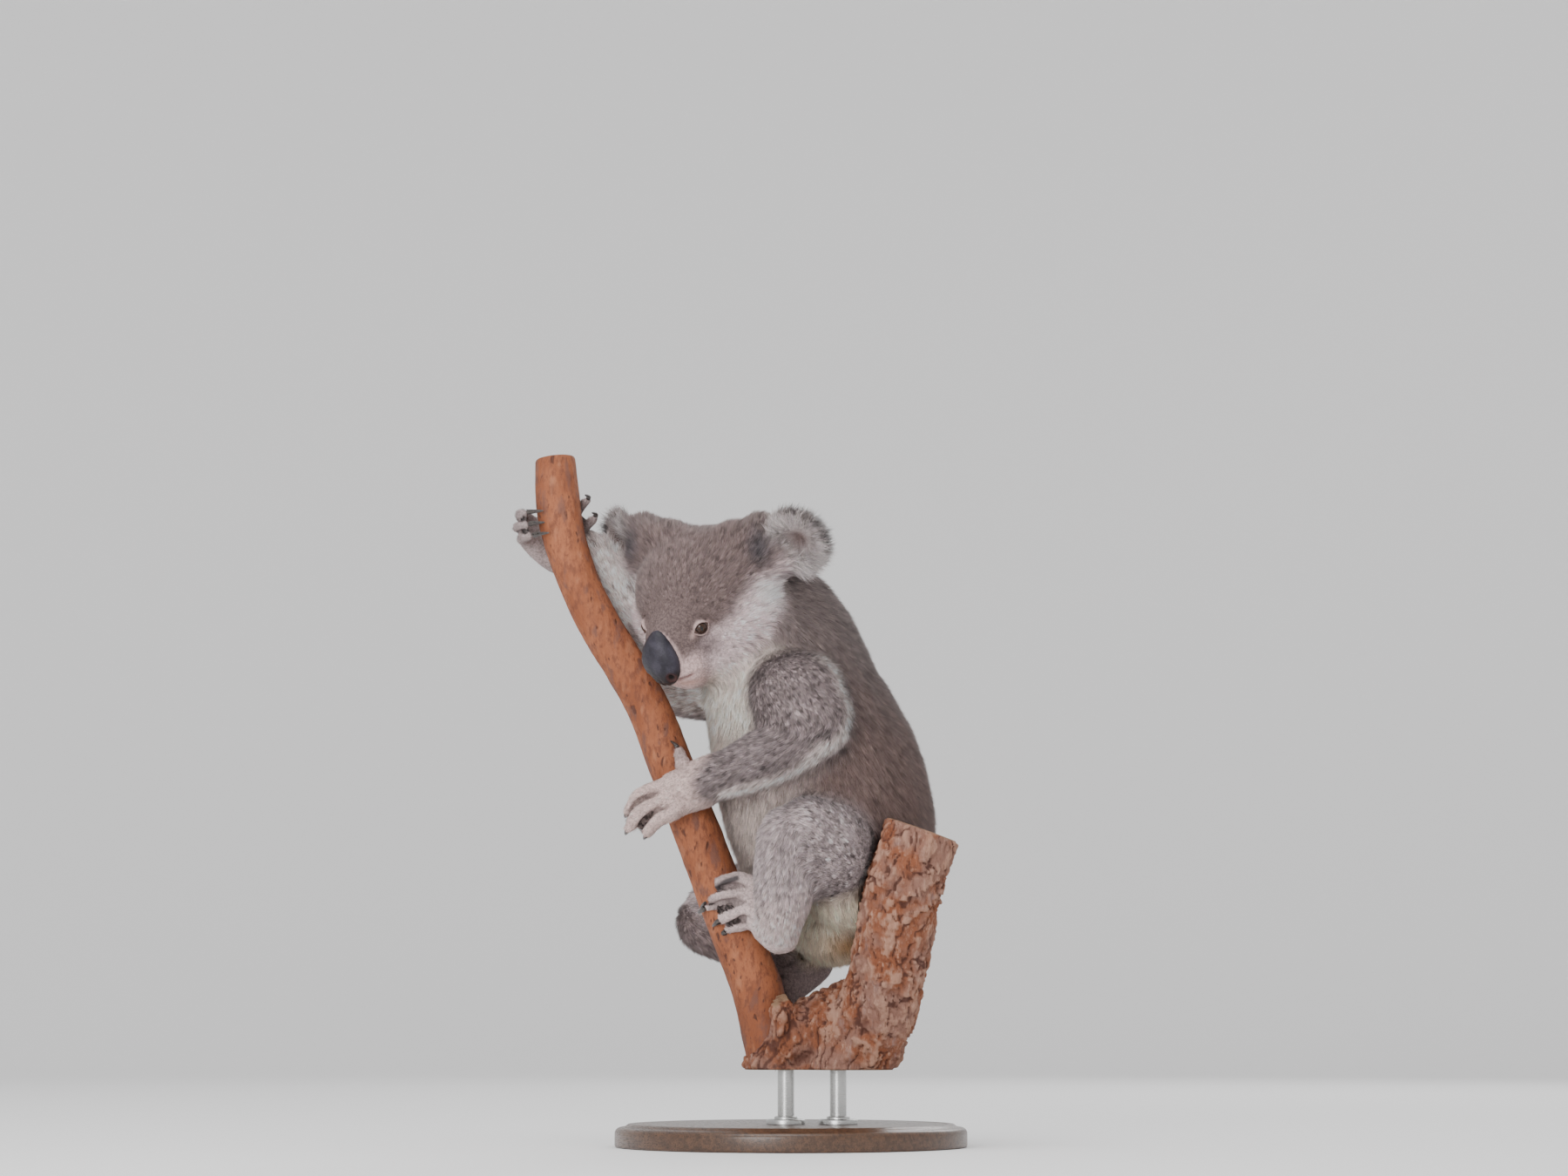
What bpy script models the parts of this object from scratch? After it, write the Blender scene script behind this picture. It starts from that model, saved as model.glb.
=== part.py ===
"""A koala holding a slim branch, life size, on a cut fork of its tree and a turned display stand.

Metres, +Z up. The koala's body faces -Y and its left side is +X. The origin is the centre of
the stand's underside. Every solid of the animal reaches out to the tips of its coat.
"""

import math

import bmesh
import bpy
from mathutils import Matrix, Vector

# Driving dimensions
GAP = 0.0004                      # clearance between pieces that touch
RING_SIDES = 20                   # corners of each ring of a lofted shape
SPLINE_STEPS = 4                  # rings between two stations of a loft
SMOOTH_FACTOR = 0.5

BASE_RADIUS = 0.170               # turned timber base of the stand
BASE_HEIGHT = 0.022
BASE_EDGE = 0.005
ROD_RADIUS = 0.008
FLANGE_RADIUS = 0.019
FLANGE_HEIGHT = 0.005
ROD_SPACING = 0.050
RODS_MIDDLE = Vector((0.026, 0.012, 0))
RODS_LINE = Vector((0.35, 0.94, 0))
PERCH_FOOT = 0.074                # height of the sawn underside of the fork

BRANCH_ENDS = (0.0265, 0.0185)    # half thickness at the fork and at the sawn top
BRANCH_SWELL = 0.0030             # at the bend above the upper hand
SWELL_SHARE = 0.93
SWELL_SPREAD = 0.07
STEM_RADIUS = 0.037
STEM_TOP = Vector((0.130, 0.086, 0.300))   # centre of the sawn top of the thick stem
STEM_CUT = Vector((0.15, 0.30, 0.94))      # the way that cut faces

HEAD_CENTRE = Vector((0.026, -0.105, 0.515))
HEAD_TURN = math.radians(30)      # to its own left
HEAD_NOD = math.radians(35)       # nose down
HEAD_TILT = math.radians(6)       # left ear down
HEAD = (
    Matrix.Translation(HEAD_CENTRE)
    @ Matrix.Rotation(HEAD_TURN, 4, "Z")
    @ Matrix.Rotation(HEAD_NOD, 4, "X")
    @ Matrix.Rotation(HEAD_TILT, 4, "Y")
)
EYE_PLACE = (0.0305, -0.0385, 0.0035)    # centre of the left eyeball in the head
EYE_RADIUS = 0.0088
NOSE_PLACE = (0, -0.0735, -0.0140)
NOSE_HALF = (0.0205, 0.0125, 0.0275)
NOSE_NARROWING = 0.24             # at its top
NOSE_SLOPE = 0.008                # how far its top lies back
EAR_PLACE = (0.1030, 0.0440, 0.0490)
EAR_HALF = (0.0450, 0.0170, 0.0410)
EAR_SWING = math.radians(22)
EAR_LEAN = math.radians(8)

DIGIT_TAPER = 0.22
DIGIT_SIDE = Vector((0.3, 0.2, 1))
CLAW_RADIUS = 0.0031
CLAW_TIP = 0.0007

# Centres of the branch from the fork up, with the sawn end last
BRANCH = (
    (0.010, -0.016, 0.062),
    (0.006, -0.025, 0.105),
    (0.004, -0.038, 0.155),
    (0.000, -0.066, 0.226),
    (-0.006, -0.091, 0.293),
    (-0.014, -0.119, 0.367),
    (-0.026, -0.141, 0.428),
    (-0.042, -0.193, 0.521),
    (-0.054, -0.218, 0.597),
    (-0.062, -0.224, 0.668),
)

FUR = ("grey fur", (0.30, 0.28, 0.27, 1), 0.9)
PALE_FUR = ("pale fur", (0.62, 0.59, 0.56, 1), 0.9)
HIDE = ("nose leather", (0.07, 0.08, 0.10, 1), 0.55)
HORN = ("claw horn", (0.04, 0.035, 0.03, 1), 0.4)
EYE = ("eye", (0.09, 0.04, 0.02, 1), 0.1)
BARK = ("smooth bark", (0.50, 0.22, 0.09, 1), 0.85)
ROUGH_BARK = ("rough bark", (0.36, 0.20, 0.14, 1), 0.95)
TIMBER = ("stand timber", (0.16, 0.10, 0.06, 1), 0.4)
STEEL = ("stand steel", (0.55, 0.55, 0.55, 1), 0.35)

cutters = []                      # whole shapes of the pieces made so far


# Shapes

def at(points):
    return [Vector(point) for point in points]


def spline(values, steps=SPLINE_STEPS):
    """Points or numbers on a smooth curve through the given ones."""
    ends = [values[0] * 2 - values[1], *values, values[-1] * 2 - values[-2]]
    found = []
    for a, b, c, d in zip(ends, ends[1:], ends[2:], ends[3:]):
        for step in range(steps):
            t = step / steps
            found.append(
                (b * 2 + (c - a) * t + (a * 2 - b * 5 + c * 4 - d) * t**2
                 + (b * 3 - a - c * 3 + d) * t**3) * 0.5
            )
    return found + [values[-1]]


def loft(shape, path, widths, depths, side, sides=RING_SIDES, caps=3):
    """Closed tube of oval rings along a path, with domed ends. Side is the way of the widths."""
    count = len(path)
    tangents = [
        (path[min(k + 1, count - 1)] - path[max(k - 1, 0)]).normalized() for k in range(count)
    ]
    stations = []
    for end, sign in ((0, -1), (-1, 1)):
        reach = min(widths[end], depths[end])
        dome = []
        for step in range(1, caps):
            angle = math.pi / 2 * step / caps
            centre = path[end] + tangents[end] * sign * reach * math.sin(angle)
            shrink = math.cos(angle)
            dome.append((centre, tangents[end], widths[end] * shrink, depths[end] * shrink))
        stations.append(dome)
    body = list(zip(path, tangents, widths, depths))
    rings = []
    for centre, tangent, width, depth in stations[0][::-1] + body + stations[1]:
        across = (side - tangent * side.dot(tangent)).normalized()
        through = tangent.cross(across)
        rings.append([
            shape.verts.new(
                centre
                + across * width * math.cos(2 * math.pi * k / sides)
                + through * depth * math.sin(2 * math.pi * k / sides)
            )
            for k in range(sides)
        ])
    for low, high in zip(rings, rings[1:]):
        for k in range(sides):
            shape.faces.new((low[k], low[k - 1], high[k - 1], high[k]))
    for ring, end, sign in ((rings[0], 0, -1), (rings[-1], -1, 1)):
        pole = shape.verts.new(path[end] + tangents[end] * sign * min(widths[end], depths[end]))
        for k in range(sides):
            corner = (ring[k], ring[k - 1], pole) if sign == 1 else (ring[k - 1], ring[k], pole)
            shape.faces.new(corner)
    bmesh.ops.recalc_face_normals(shape, faces=shape.faces[:])


def limb(shape, stations, side=(1, 0, 0), sides=RING_SIDES):
    """Loft through (centre, half width, half depth) stations."""
    path = spline(at([station[0] for station in stations]))
    widths = spline([station[1] for station in stations])
    depths = spline([station[2] for station in stations])
    loft(shape, path, widths, depths, Vector(side), sides)


def ball(shape, centre, halves, frame=Matrix.Identity(4), detail=3):
    """Ellipsoid with its axes along those of the frame."""
    place = frame @ Matrix.Translation(centre) @ Matrix.Diagonal((*halves, 1))
    bmesh.ops.create_icosphere(shape, subdivisions=detail, radius=1, matrix=place)


def digit(shape, joints, radius):
    """A finger or toe from its knuckle to its tip."""
    path = spline(at(joints), 3)
    radii = [radius * (1 - DIGIT_TAPER * k / (len(path) - 1)) for k in range(len(path))]
    loft(shape, path, radii, radii, DIGIT_SIDE, sides=12)


# Objects

def finish(piece, look):
    name, colour, roughness = look
    material = bpy.data.materials.get(name) or bpy.data.materials.new(name)
    material.use_nodes = True
    shader = material.node_tree.nodes["Principled BSDF"]
    shader.inputs["Base Color"].default_value = colour
    shader.inputs["Roughness"].default_value = roughness
    shader.inputs["Metallic"].default_value = 1.0 if name == STEEL[0] else 0.0
    piece.data.materials.clear()
    piece.data.materials.append(material)


def new_object(name, shape):
    mesh = bpy.data.meshes.new(name)
    shape.to_mesh(mesh)
    shape.free()
    piece = bpy.data.objects.new(name, mesh)
    bpy.context.scene.collection.objects.link(piece)
    return piece


def apply_modifiers(piece):
    graph = bpy.context.evaluated_depsgraph_get()
    mesh = bpy.data.meshes.new_from_object(piece.evaluated_get(graph))
    piece.modifiers.clear()
    old = piece.data
    piece.data = mesh
    bpy.data.meshes.remove(old)


def blend(name, shape, voxel, passes, triangles):
    """Melt overlapping shapes into one skin with about the given number of triangles."""
    piece = new_object(name, shape)
    remesh = piece.modifiers.new("melt", "REMESH")
    remesh.mode = "VOXEL"
    remesh.voxel_size = voxel
    remesh.use_smooth_shade = True
    smooth = piece.modifiers.new("smooth", "SMOOTH")
    smooth.factor = SMOOTH_FACTOR
    smooth.iterations = passes
    apply_modifiers(piece)
    thin = piece.modifiers.new("thin", "DECIMATE")
    thin.ratio = min(1.0, triangles / (2 * len(piece.data.polygons)))
    thin.use_collapse_triangulate = True
    apply_modifiers(piece)
    return piece


def box_of(piece):
    places = [vertex.co for vertex in piece.data.vertices]
    low = [min(place[k] for place in places) for k in range(3)]
    high = [max(place[k] for place in places) for k in range(3)]
    return low, high


def near(piece, other):
    (low, high), (other_low, other_high) = box_of(piece), box_of(other)
    return all(low[k] < other_high[k] + GAP and other_low[k] < high[k] + GAP for k in range(3))


def keep_largest(piece):
    """Drop slivers that a cut has parted from the main body."""
    shape = bmesh.new()
    shape.from_mesh(piece.data)
    left = set(shape.faces)
    bodies = []
    while left:
        body = {left.pop()}
        front = list(body)
        while front:
            face = front.pop()
            for edge in face.edges:
                for beside in edge.link_faces:
                    if beside in left:
                        left.remove(beside)
                        body.add(beside)
                        front.append(beside)
        bodies.append(body)
    main = max(bodies, key=lambda body: sum(face.calc_area() for face in body))
    others = [face for body in bodies if body is not main for face in body]
    bmesh.ops.delete(shape, geom=others, context="FACES")
    shape.to_mesh(piece.data)
    shape.free()


def grown(piece):
    """Copy of a piece made larger all round by the gap, to cut others with."""
    cutter = bpy.data.objects.new(piece.name + " cutter", piece.data.copy())
    bpy.context.scene.collection.objects.link(cutter)
    normals = [vertex.normal.copy() for vertex in cutter.data.vertices]
    for vertex, normal in zip(cutter.data.vertices, normals):
        vertex.co += normal * GAP
    cutter.hide_render = True
    cutter.display_type = "WIRE"
    return cutter


def subtract(piece, cutter):
    cut = piece.modifiers.new("cut", "BOOLEAN")
    cut.operation = "DIFFERENCE"
    cut.solver = "EXACT"
    cut.object = cutter
    apply_modifiers(piece)


def fit(piece, look):
    """Cut a piece clear of all earlier ones, so that they meet across the gap."""
    whole = grown(piece)
    for cutter in cutters:
        if near(piece, cutter):
            subtract(piece, cutter)
    keep_largest(piece)
    finish(piece, look)
    piece.data.shade_smooth()
    piece.data.set_sharp_from_angle(angle=math.radians(50))
    cutters.append(whole)
    return piece


def saw(piece, centre, normal):
    """Flat cut that takes away what lies beyond the plane."""
    shape = bmesh.new()
    shape.from_mesh(piece.data)
    geometry = shape.verts[:] + shape.edges[:] + shape.faces[:]
    found = bmesh.ops.bisect_plane(
        shape, geom=geometry, plane_co=centre, plane_no=normal, clear_outer=True, dist=1e-6
    )
    rim = [item for item in found["geom_cut"] if isinstance(item, bmesh.types.BMEdge)]
    bmesh.ops.contextual_create(shape, geom=rim)
    shape.to_mesh(piece.data)
    shape.free()


# Stand and perch

def turned(name, profile, centre, sides):
    """Solid of revolution about +Z from (radius, height) points, bottom to top."""
    shape = bmesh.new()
    rings = []
    for radius, height in profile:
        rings.append([
            shape.verts.new((
                centre[0] + radius * math.cos(2 * math.pi * k / sides),
                centre[1] + radius * math.sin(2 * math.pi * k / sides),
                height,
            ))
            for k in range(sides)
        ])
    for low, high in zip(rings, rings[1:]):
        for k in range(sides):
            shape.faces.new((low[k - 1], low[k], high[k], high[k - 1]))
    shape.faces.new(rings[0][::-1])
    shape.faces.new(rings[-1])
    bmesh.ops.recalc_face_normals(shape, faces=shape.faces[:])
    return new_object(name, shape)


def make_stand():
    profile = [(BASE_RADIUS - BASE_EDGE / 2, 0), (BASE_RADIUS, BASE_EDGE / 2)]
    for angle in (0, math.pi / 4, math.pi / 2):
        inset = BASE_EDGE * (1 - math.cos(angle))
        drop = BASE_EDGE * (1 - math.sin(angle))
        profile.append((BASE_RADIUS - inset, BASE_HEIGHT - drop))
    base = turned("stand_base", profile, (0, 0), 28)
    fit(base, TIMBER)
    for name, across in (("stand_rod_front", -0.5), ("stand_rod_back", 0.5)):
        centre = RODS_MIDDLE + RODS_LINE * ROD_SPACING * across
        bottom = BASE_HEIGHT + GAP
        profile = (
            (FLANGE_RADIUS, bottom),
            (FLANGE_RADIUS, bottom + FLANGE_HEIGHT * 0.6),
            (FLANGE_RADIUS - FLANGE_HEIGHT * 0.4, bottom + FLANGE_HEIGHT),
            (ROD_RADIUS, bottom + FLANGE_HEIGHT),
            (ROD_RADIUS, PERCH_FOOT - GAP),
        )
        fit(turned(name, profile, centre, 12), STEEL)


def branch_radius(share):
    """Half thickness at a share of the branch's length, with a swelling at its upper bend."""
    low, high = BRANCH_ENDS
    swelling = BRANCH_SWELL * math.exp(-((share - SWELL_SHARE) / SWELL_SPREAD) ** 2)
    return low + (high - low) * share + swelling


def make_perch():
    centres = at(BRANCH)
    shares = [k / (len(centres) - 1) for k in range(len(centres))]
    radii = [branch_radius(share) for share in shares]
    shape = bmesh.new()
    limb(shape, list(zip(centres, radii, radii)))
    branch = blend("perch_branch", shape, 0.005, 4, 270)
    saw(branch, centres[-1], (centres[-1] - centres[-2]).normalized())
    saw(branch, Vector((0, 0, PERCH_FOOT)), Vector((0, 0, -1)))
    fit(branch, BARK)

    shape = bmesh.new()
    limb(shape, (
        ((0.034, 0.026, 0.040), 0.040, 0.040),
        ((0.048, 0.044, 0.084), 0.041, 0.041),
        ((0.068, 0.058, 0.118), 0.039, 0.039),
        ((0.098, 0.064, 0.172), STEM_RADIUS, STEM_RADIUS),
        ((0.120, 0.068, 0.241), STEM_RADIUS, STEM_RADIUS),
        ((0.132, 0.088, 0.310), STEM_RADIUS, STEM_RADIUS),
        ((0.136, 0.094, 0.340), STEM_RADIUS, STEM_RADIUS),
    ))
    limb(shape, (                                                        # crotch of the fork
        ((0.068, 0.056, 0.138), 0.030, 0.030),
        ((0.034, 0.024, 0.118), 0.034, 0.032),
        ((0.010, -0.014, 0.088), 0.032, 0.036),
        ((0.014, -0.010, 0.050), 0.034, 0.038),
    ))
    limb(shape, (                                                        # sawn side shoot
        ((0.022, -0.014, 0.082), 0.018, 0.018),
        ((0.036, -0.022, 0.108), 0.014, 0.014),
        ((0.042, -0.024, 0.136), 0.013, 0.013),
    ))
    fork = blend("perch_fork", shape, 0.005, 4, 340)
    saw(fork, STEM_TOP, STEM_CUT.normalized())
    saw(fork, Vector((0, 0, PERCH_FOOT)), Vector((0, 0, -1)))
    fit(fork, ROUGH_BARK)


# Head

def make_eyes_and_nose():
    for name, side in (("eye_left", 1), ("eye_right", -1)):
        shape = bmesh.new()
        centre = HEAD @ Vector((side * EYE_PLACE[0], EYE_PLACE[1], EYE_PLACE[2]))
        bmesh.ops.create_uvsphere(
            shape, u_segments=12, v_segments=7, radius=EYE_RADIUS, matrix=Matrix.Translation(centre)
        )
        fit(new_object(name, shape), EYE)

    shape = bmesh.new()
    bmesh.ops.create_uvsphere(shape, u_segments=12, v_segments=9, radius=1)
    for vertex in shape.verts:
        height = vertex.co.z
        narrowing = 1 - NOSE_NARROWING * max(0, height)
        vertex.co = Vector((
            vertex.co.x * NOSE_HALF[0] * narrowing,
            vertex.co.y * NOSE_HALF[1] + NOSE_SLOPE * max(0, height) ** 2,
            height * NOSE_HALF[2],
        ))
    bmesh.ops.transform(shape, matrix=HEAD @ Matrix.Translation(NOSE_PLACE), verts=shape.verts[:])
    fit(new_object("nose_pad", shape), HIDE)


def make_head():
    shape = bmesh.new()
    ball(shape, (0, 0.024, 0.011), (0.077, 0.073, 0.060), HEAD)          # cranium
    ball(shape, (0, -0.040, -0.012), (0.032, 0.036, 0.037), HEAD)        # bridge and muzzle
    ball(shape, (0, -0.030, -0.042), (0.036, 0.034, 0.026), HEAD)        # jaw and chin
    ball(shape, (0, 0.052, 0.000), (0.064, 0.048, 0.052), HEAD)          # back of the head
    for side in (1, -1):
        ball(shape, (side * 0.050, 0.014, -0.014), (0.038, 0.044, 0.040), HEAD)    # cheek
        ball(shape, (side * 0.034, -0.006, -0.034), (0.034, 0.036, 0.030), HEAD)   # jowl
        ball(shape, (side * 0.016, -0.052, -0.030), (0.018, 0.018, 0.018), HEAD)   # upper lip
        ball(shape, (side * 0.066, 0.038, 0.036), (0.034, 0.030, 0.030), HEAD)     # ear's root
        ball(shape, (side * 0.046, 0.038, 0.052), (0.042, 0.026, 0.026), HEAD)     # flat top of the crown
        ball(shape, (side * 0.070, 0.044, 0.060), (0.024, 0.018, 0.025), HEAD)     # fluff before the ear
    fit(blend("head", shape, 0.004, 6, 690), FUR)


def make_ear(name, side):
    turn = Matrix.Rotation(side * EAR_SWING, 4, "Z") @ Matrix.Rotation(side * -EAR_LEAN, 4, "Y")
    place = Matrix.Translation((side * EAR_PLACE[0], EAR_PLACE[1], EAR_PLACE[2]))
    frame = HEAD @ place @ turn
    shape = bmesh.new()
    ball(shape, (0, 0, 0), EAR_HALF, frame)
    ball(shape, (side * -0.022, 0.004, -0.012), (0.030, 0.018, 0.026), frame)
    ear = blend(name, shape, 0.0035, 3, 150)
    bowl = bmesh.new()
    ball(bowl, (side * 0.002, -0.022, 0.001), (0.026, 0.016, 0.022), frame, detail=2)
    cutter = new_object(name + " bowl", bowl)
    subtract(ear, cutter)
    bpy.data.objects.remove(cutter)
    fit(ear, PALE_FUR)


# Trunk and limbs

def make_trunk():
    shape = bmesh.new()
    limb(shape, (
        ((0.000, 0.044, 0.213), 0.054, 0.044),
        ((0.000, 0.052, 0.234), 0.086, 0.076),
        ((0.000, 0.049, 0.284), 0.107, 0.098),
        ((0.004, 0.031, 0.348), 0.108, 0.104),
        ((0.010, 0.008, 0.404), 0.099, 0.096),
        ((0.016, -0.014, 0.450), 0.090, 0.082),
        ((0.018, -0.024, 0.472), 0.078, 0.066),
    ))
    for side in (1, -1):
        ball(shape, (0.014 + side * 0.050, -0.022, 0.448), (0.046, 0.052, 0.046))   # shoulder
        ball(shape, (side * 0.056, 0.046, 0.258), (0.054, 0.058, 0.056))            # hip
    fit(blend("trunk", shape, 0.007, 5, 460), FUR)


def make_neck():
    shape = bmesh.new()
    limb(shape, (
        ((0.015, -0.008, 0.446), 0.092, 0.088),
        ((0.018, -0.020, 0.486), 0.080, 0.077),
        ((0.016, -0.036, 0.518), 0.066, 0.066),
        ((0.014, -0.048, 0.534), 0.052, 0.052),
    ))
    fit(blend("neck", shape, 0.006, 4, 200), FUR)


def make_arms():
    upper = {
        "left": (
            ((0.066, -0.029, 0.448), 0.040, 0.044),
            ((0.090, -0.027, 0.430), 0.045, 0.050),
            ((0.109, -0.018, 0.408), 0.039, 0.043),
        ),
        "right": (
            ((-0.062, -0.018, 0.460), 0.044, 0.046),
            ((-0.084, -0.070, 0.462), 0.044, 0.046),
            ((-0.094, -0.118, 0.474), 0.038, 0.040),
        ),
    }
    lower = {
        "left": (
            ((0.112, -0.016, 0.402), 0.038, 0.039),
            ((0.082, -0.050, 0.371), 0.032, 0.034),
            ((0.044, -0.093, 0.349), 0.023, 0.024),
        ),
        "right": (
            ((-0.094, -0.126, 0.480), 0.036, 0.037),
            ((-0.088, -0.146, 0.528), 0.034, 0.036),
            ((-0.083, -0.180, 0.572), 0.029, 0.028),
        ),
    }
    for side in ("left", "right"):
        shape = bmesh.new()
        limb(shape, upper[side])
        fit(blend("upper_arm_" + side, shape, 0.006, 4, 190), FUR)
        shape = bmesh.new()
        limb(shape, lower[side], side=(0.3, 0.3, 1))
        fit(blend("forearm_" + side, shape, 0.005, 4, 190), FUR)


def make_legs():
    thighs = {
        "left": (
            ((0.062, 0.044, 0.268), 0.048, 0.052),
            ((0.090, 0.006, 0.284), 0.044, 0.050),
            ((0.106, -0.024, 0.294), 0.036, 0.042),
        ),
        "right": (
            ((-0.060, 0.066, 0.250), 0.050, 0.054),
            ((-0.088, 0.008, 0.238), 0.044, 0.050),
            ((-0.103, -0.040, 0.224), 0.036, 0.040),
        ),
    }
    shins = {
        "left": (
            ((0.107, -0.034, 0.292), 0.035, 0.039),
            ((0.090, -0.037, 0.253), 0.031, 0.034),
            ((0.068, -0.037, 0.213), 0.023, 0.025),
        ),
        "right": (
            ((-0.104, -0.050, 0.218), 0.034, 0.035),
            ((-0.080, -0.008, 0.196), 0.028, 0.030),
            ((-0.052, 0.036, 0.180), 0.020, 0.022),
        ),
    }
    for side in ("left", "right"):
        shape = bmesh.new()
        limb(shape, thighs[side])
        fit(blend("thigh_" + side, shape, 0.006, 4, 220), FUR)
        shape = bmesh.new()
        limb(shape, shins[side])
        fit(blend("shin_" + side, shape, 0.005, 4, 180), FUR)


# Hands and feet. Each digit runs from its knuckle to its tip.

PALMS = {
    "hand_left": (
        ((0.050, -0.086, 0.356), 0.020, 0.023),
        ((0.032, -0.106, 0.345), 0.016, 0.026),
        ((0.021, -0.128, 0.335), 0.011, 0.023),
    ),
    "hand_right": (
        ((-0.085, -0.178, 0.568), 0.024, 0.025),
        ((-0.091, -0.216, 0.583), 0.014, 0.024),
        ((-0.088, -0.238, 0.598), 0.011, 0.022),
    ),
    "foot_left": (
        ((0.060, -0.033, 0.201), 0.019, 0.020),
        ((0.046, -0.038, 0.211), 0.018, 0.022),
        ((0.033, -0.050, 0.227), 0.014, 0.022),
    ),
    "foot_right": (
        ((-0.050, 0.044, 0.178), 0.020, 0.020),
        ((-0.042, 0.028, 0.166), 0.017, 0.020),
        ((-0.031, 0.004, 0.150), 0.013, 0.019),
    ),
}
DIGITS = {
    "hand_left": (
        ((0.018, -0.136, 0.344), (0.008, -0.157, 0.336), (-0.002, -0.165, 0.321)),
        ((0.022, -0.134, 0.331), (0.015, -0.158, 0.319), (0.003, -0.166, 0.304)),
        ((0.027, -0.126, 0.320), (0.023, -0.143, 0.311), (0.012, -0.150, 0.299)),
        ((0.028, -0.112, 0.350), (0.026, -0.119, 0.365), (0.019, -0.121, 0.378)),
        ((0.034, -0.096, 0.356), (0.022, -0.087, 0.362), (0.007, -0.083, 0.366)),
    ),
    "hand_right": (
        ((-0.084, -0.244, 0.612), (-0.074, -0.257, 0.613), (-0.057, -0.254, 0.613)),
        ((-0.086, -0.246, 0.601), (-0.073, -0.259, 0.600), (-0.056, -0.254, 0.601)),
        ((-0.084, -0.243, 0.588), (-0.071, -0.255, 0.588), (-0.054, -0.250, 0.590)),
        ((-0.086, -0.210, 0.604), (-0.070, -0.197, 0.620), (-0.052, -0.193, 0.628)),
        ((-0.084, -0.204, 0.592), (-0.068, -0.189, 0.604), (-0.050, -0.186, 0.611)),
    ),
    "foot_left": (
        ((0.038, -0.050, 0.248), (0.032, -0.065, 0.255), (0.022, -0.081, 0.251)),
        ((0.033, -0.058, 0.241), (0.030, -0.076, 0.239), (0.020, -0.089, 0.234)),
        ((0.029, -0.058, 0.237), (0.026, -0.076, 0.234), (0.016, -0.090, 0.229)),
        ((0.038, -0.054, 0.227), (0.034, -0.067, 0.223), (0.026, -0.079, 0.217)),
        ((0.034, -0.049, 0.215), (0.031, -0.060, 0.212), (0.023, -0.071, 0.207)),
    ),
    "foot_right": (
        ((-0.034, 0.012, 0.160), (-0.036, -0.008, 0.172), (-0.032, -0.026, 0.180)),
        ((-0.031, 0.000, 0.154), (-0.033, -0.019, 0.155), (-0.029, -0.037, 0.154)),
        ((-0.031, 0.000, 0.147), (-0.033, -0.018, 0.147), (-0.028, -0.035, 0.144)),
        ((-0.029, 0.002, 0.139), (-0.030, -0.014, 0.137), (-0.025, -0.029, 0.133)),
        ((-0.028, 0.006, 0.131), (-0.027, -0.007, 0.127), (-0.022, -0.020, 0.122)),
    ),
}
DIGIT_RADIUS = {"hand_left": 0.0088, "hand_right": 0.0072, "foot_left": 0.0080, "foot_right": 0.0070}
GREAT_TOES = {("foot_left", 0), ("foot_right", 0)}    # thick and without claws
GREAT_TOE_THICKNESS = 1.25
CLAW_REACH = {"hand_left": 0.011, "hand_right": 0.013, "foot_left": 0.010, "foot_right": 0.011}
FIRST_THUMB = 3                                       # digits of a hand from here on are thumbs
GRIP = {                                              # the way fingers' and thumbs' claws close
    "hand_left": ((-1.0, 0.5, 0.1), (-0.9, -0.3, 0.2)),
    "hand_right": ((0.5, 0.8, 0.0), (0.5, -0.8, -0.2)),
    "foot_left": ((-0.95, 0.15, -0.3), (-0.95, 0.15, -0.3)),
    "foot_right": ((0.9, 0.1, -0.3), (0.9, 0.1, -0.3)),
}


def make_paw(name):
    shape = bmesh.new()
    limb(shape, PALMS[name], side=(1, 0.4, 0), sides=16)
    for number, joints in enumerate(DIGITS[name]):
        thickness = GREAT_TOE_THICKNESS if (name, number) in GREAT_TOES else 1.0
        digit(shape, joints, DIGIT_RADIUS[name] * thickness)
    fit(blend(name, shape, 0.0028, 2, 250), PALE_FUR)


def make_claws(name):
    for number, joints in enumerate(DIGITS[name]):
        if (name, number) in GREAT_TOES:
            continue
        middle, tip = Vector(joints[1]), Vector(joints[2])
        ahead = (tip - middle).normalized()
        curl = Vector(GRIP[name][number >= FIRST_THUMB]).normalized()
        reach = CLAW_REACH[name]
        path = [
            tip,
            tip + ahead * reach * 0.60 + curl * reach * 0.30,
            tip + ahead * reach * 0.85 + curl * reach * 0.90,
        ]
        radii = [CLAW_RADIUS, (CLAW_RADIUS + CLAW_TIP) / 2, CLAW_TIP]
        shape = bmesh.new()
        loft(shape, path, radii, radii, DIGIT_SIDE, sides=6, caps=1)
        fit(new_object(f"claw_{name}_{number + 1}", shape), HORN)


for item in list(bpy.data.objects):
    bpy.data.objects.remove(item, do_unlink=True)

make_stand()
make_perch()
make_eyes_and_nose()
make_trunk()
make_neck()
make_head()
make_ear("ear_left", 1)
make_ear("ear_right", -1)
make_arms()
make_legs()
for paw in PALMS:
    make_paw(paw)
for paw in PALMS:
    make_claws(paw)
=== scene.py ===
import math

import bmesh
import bpy
import numpy as np
from mathutils import Matrix, Vector, noise
from mathutils.bvhtree import BVHTree
from mathutils.kdtree import KDTree


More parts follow.
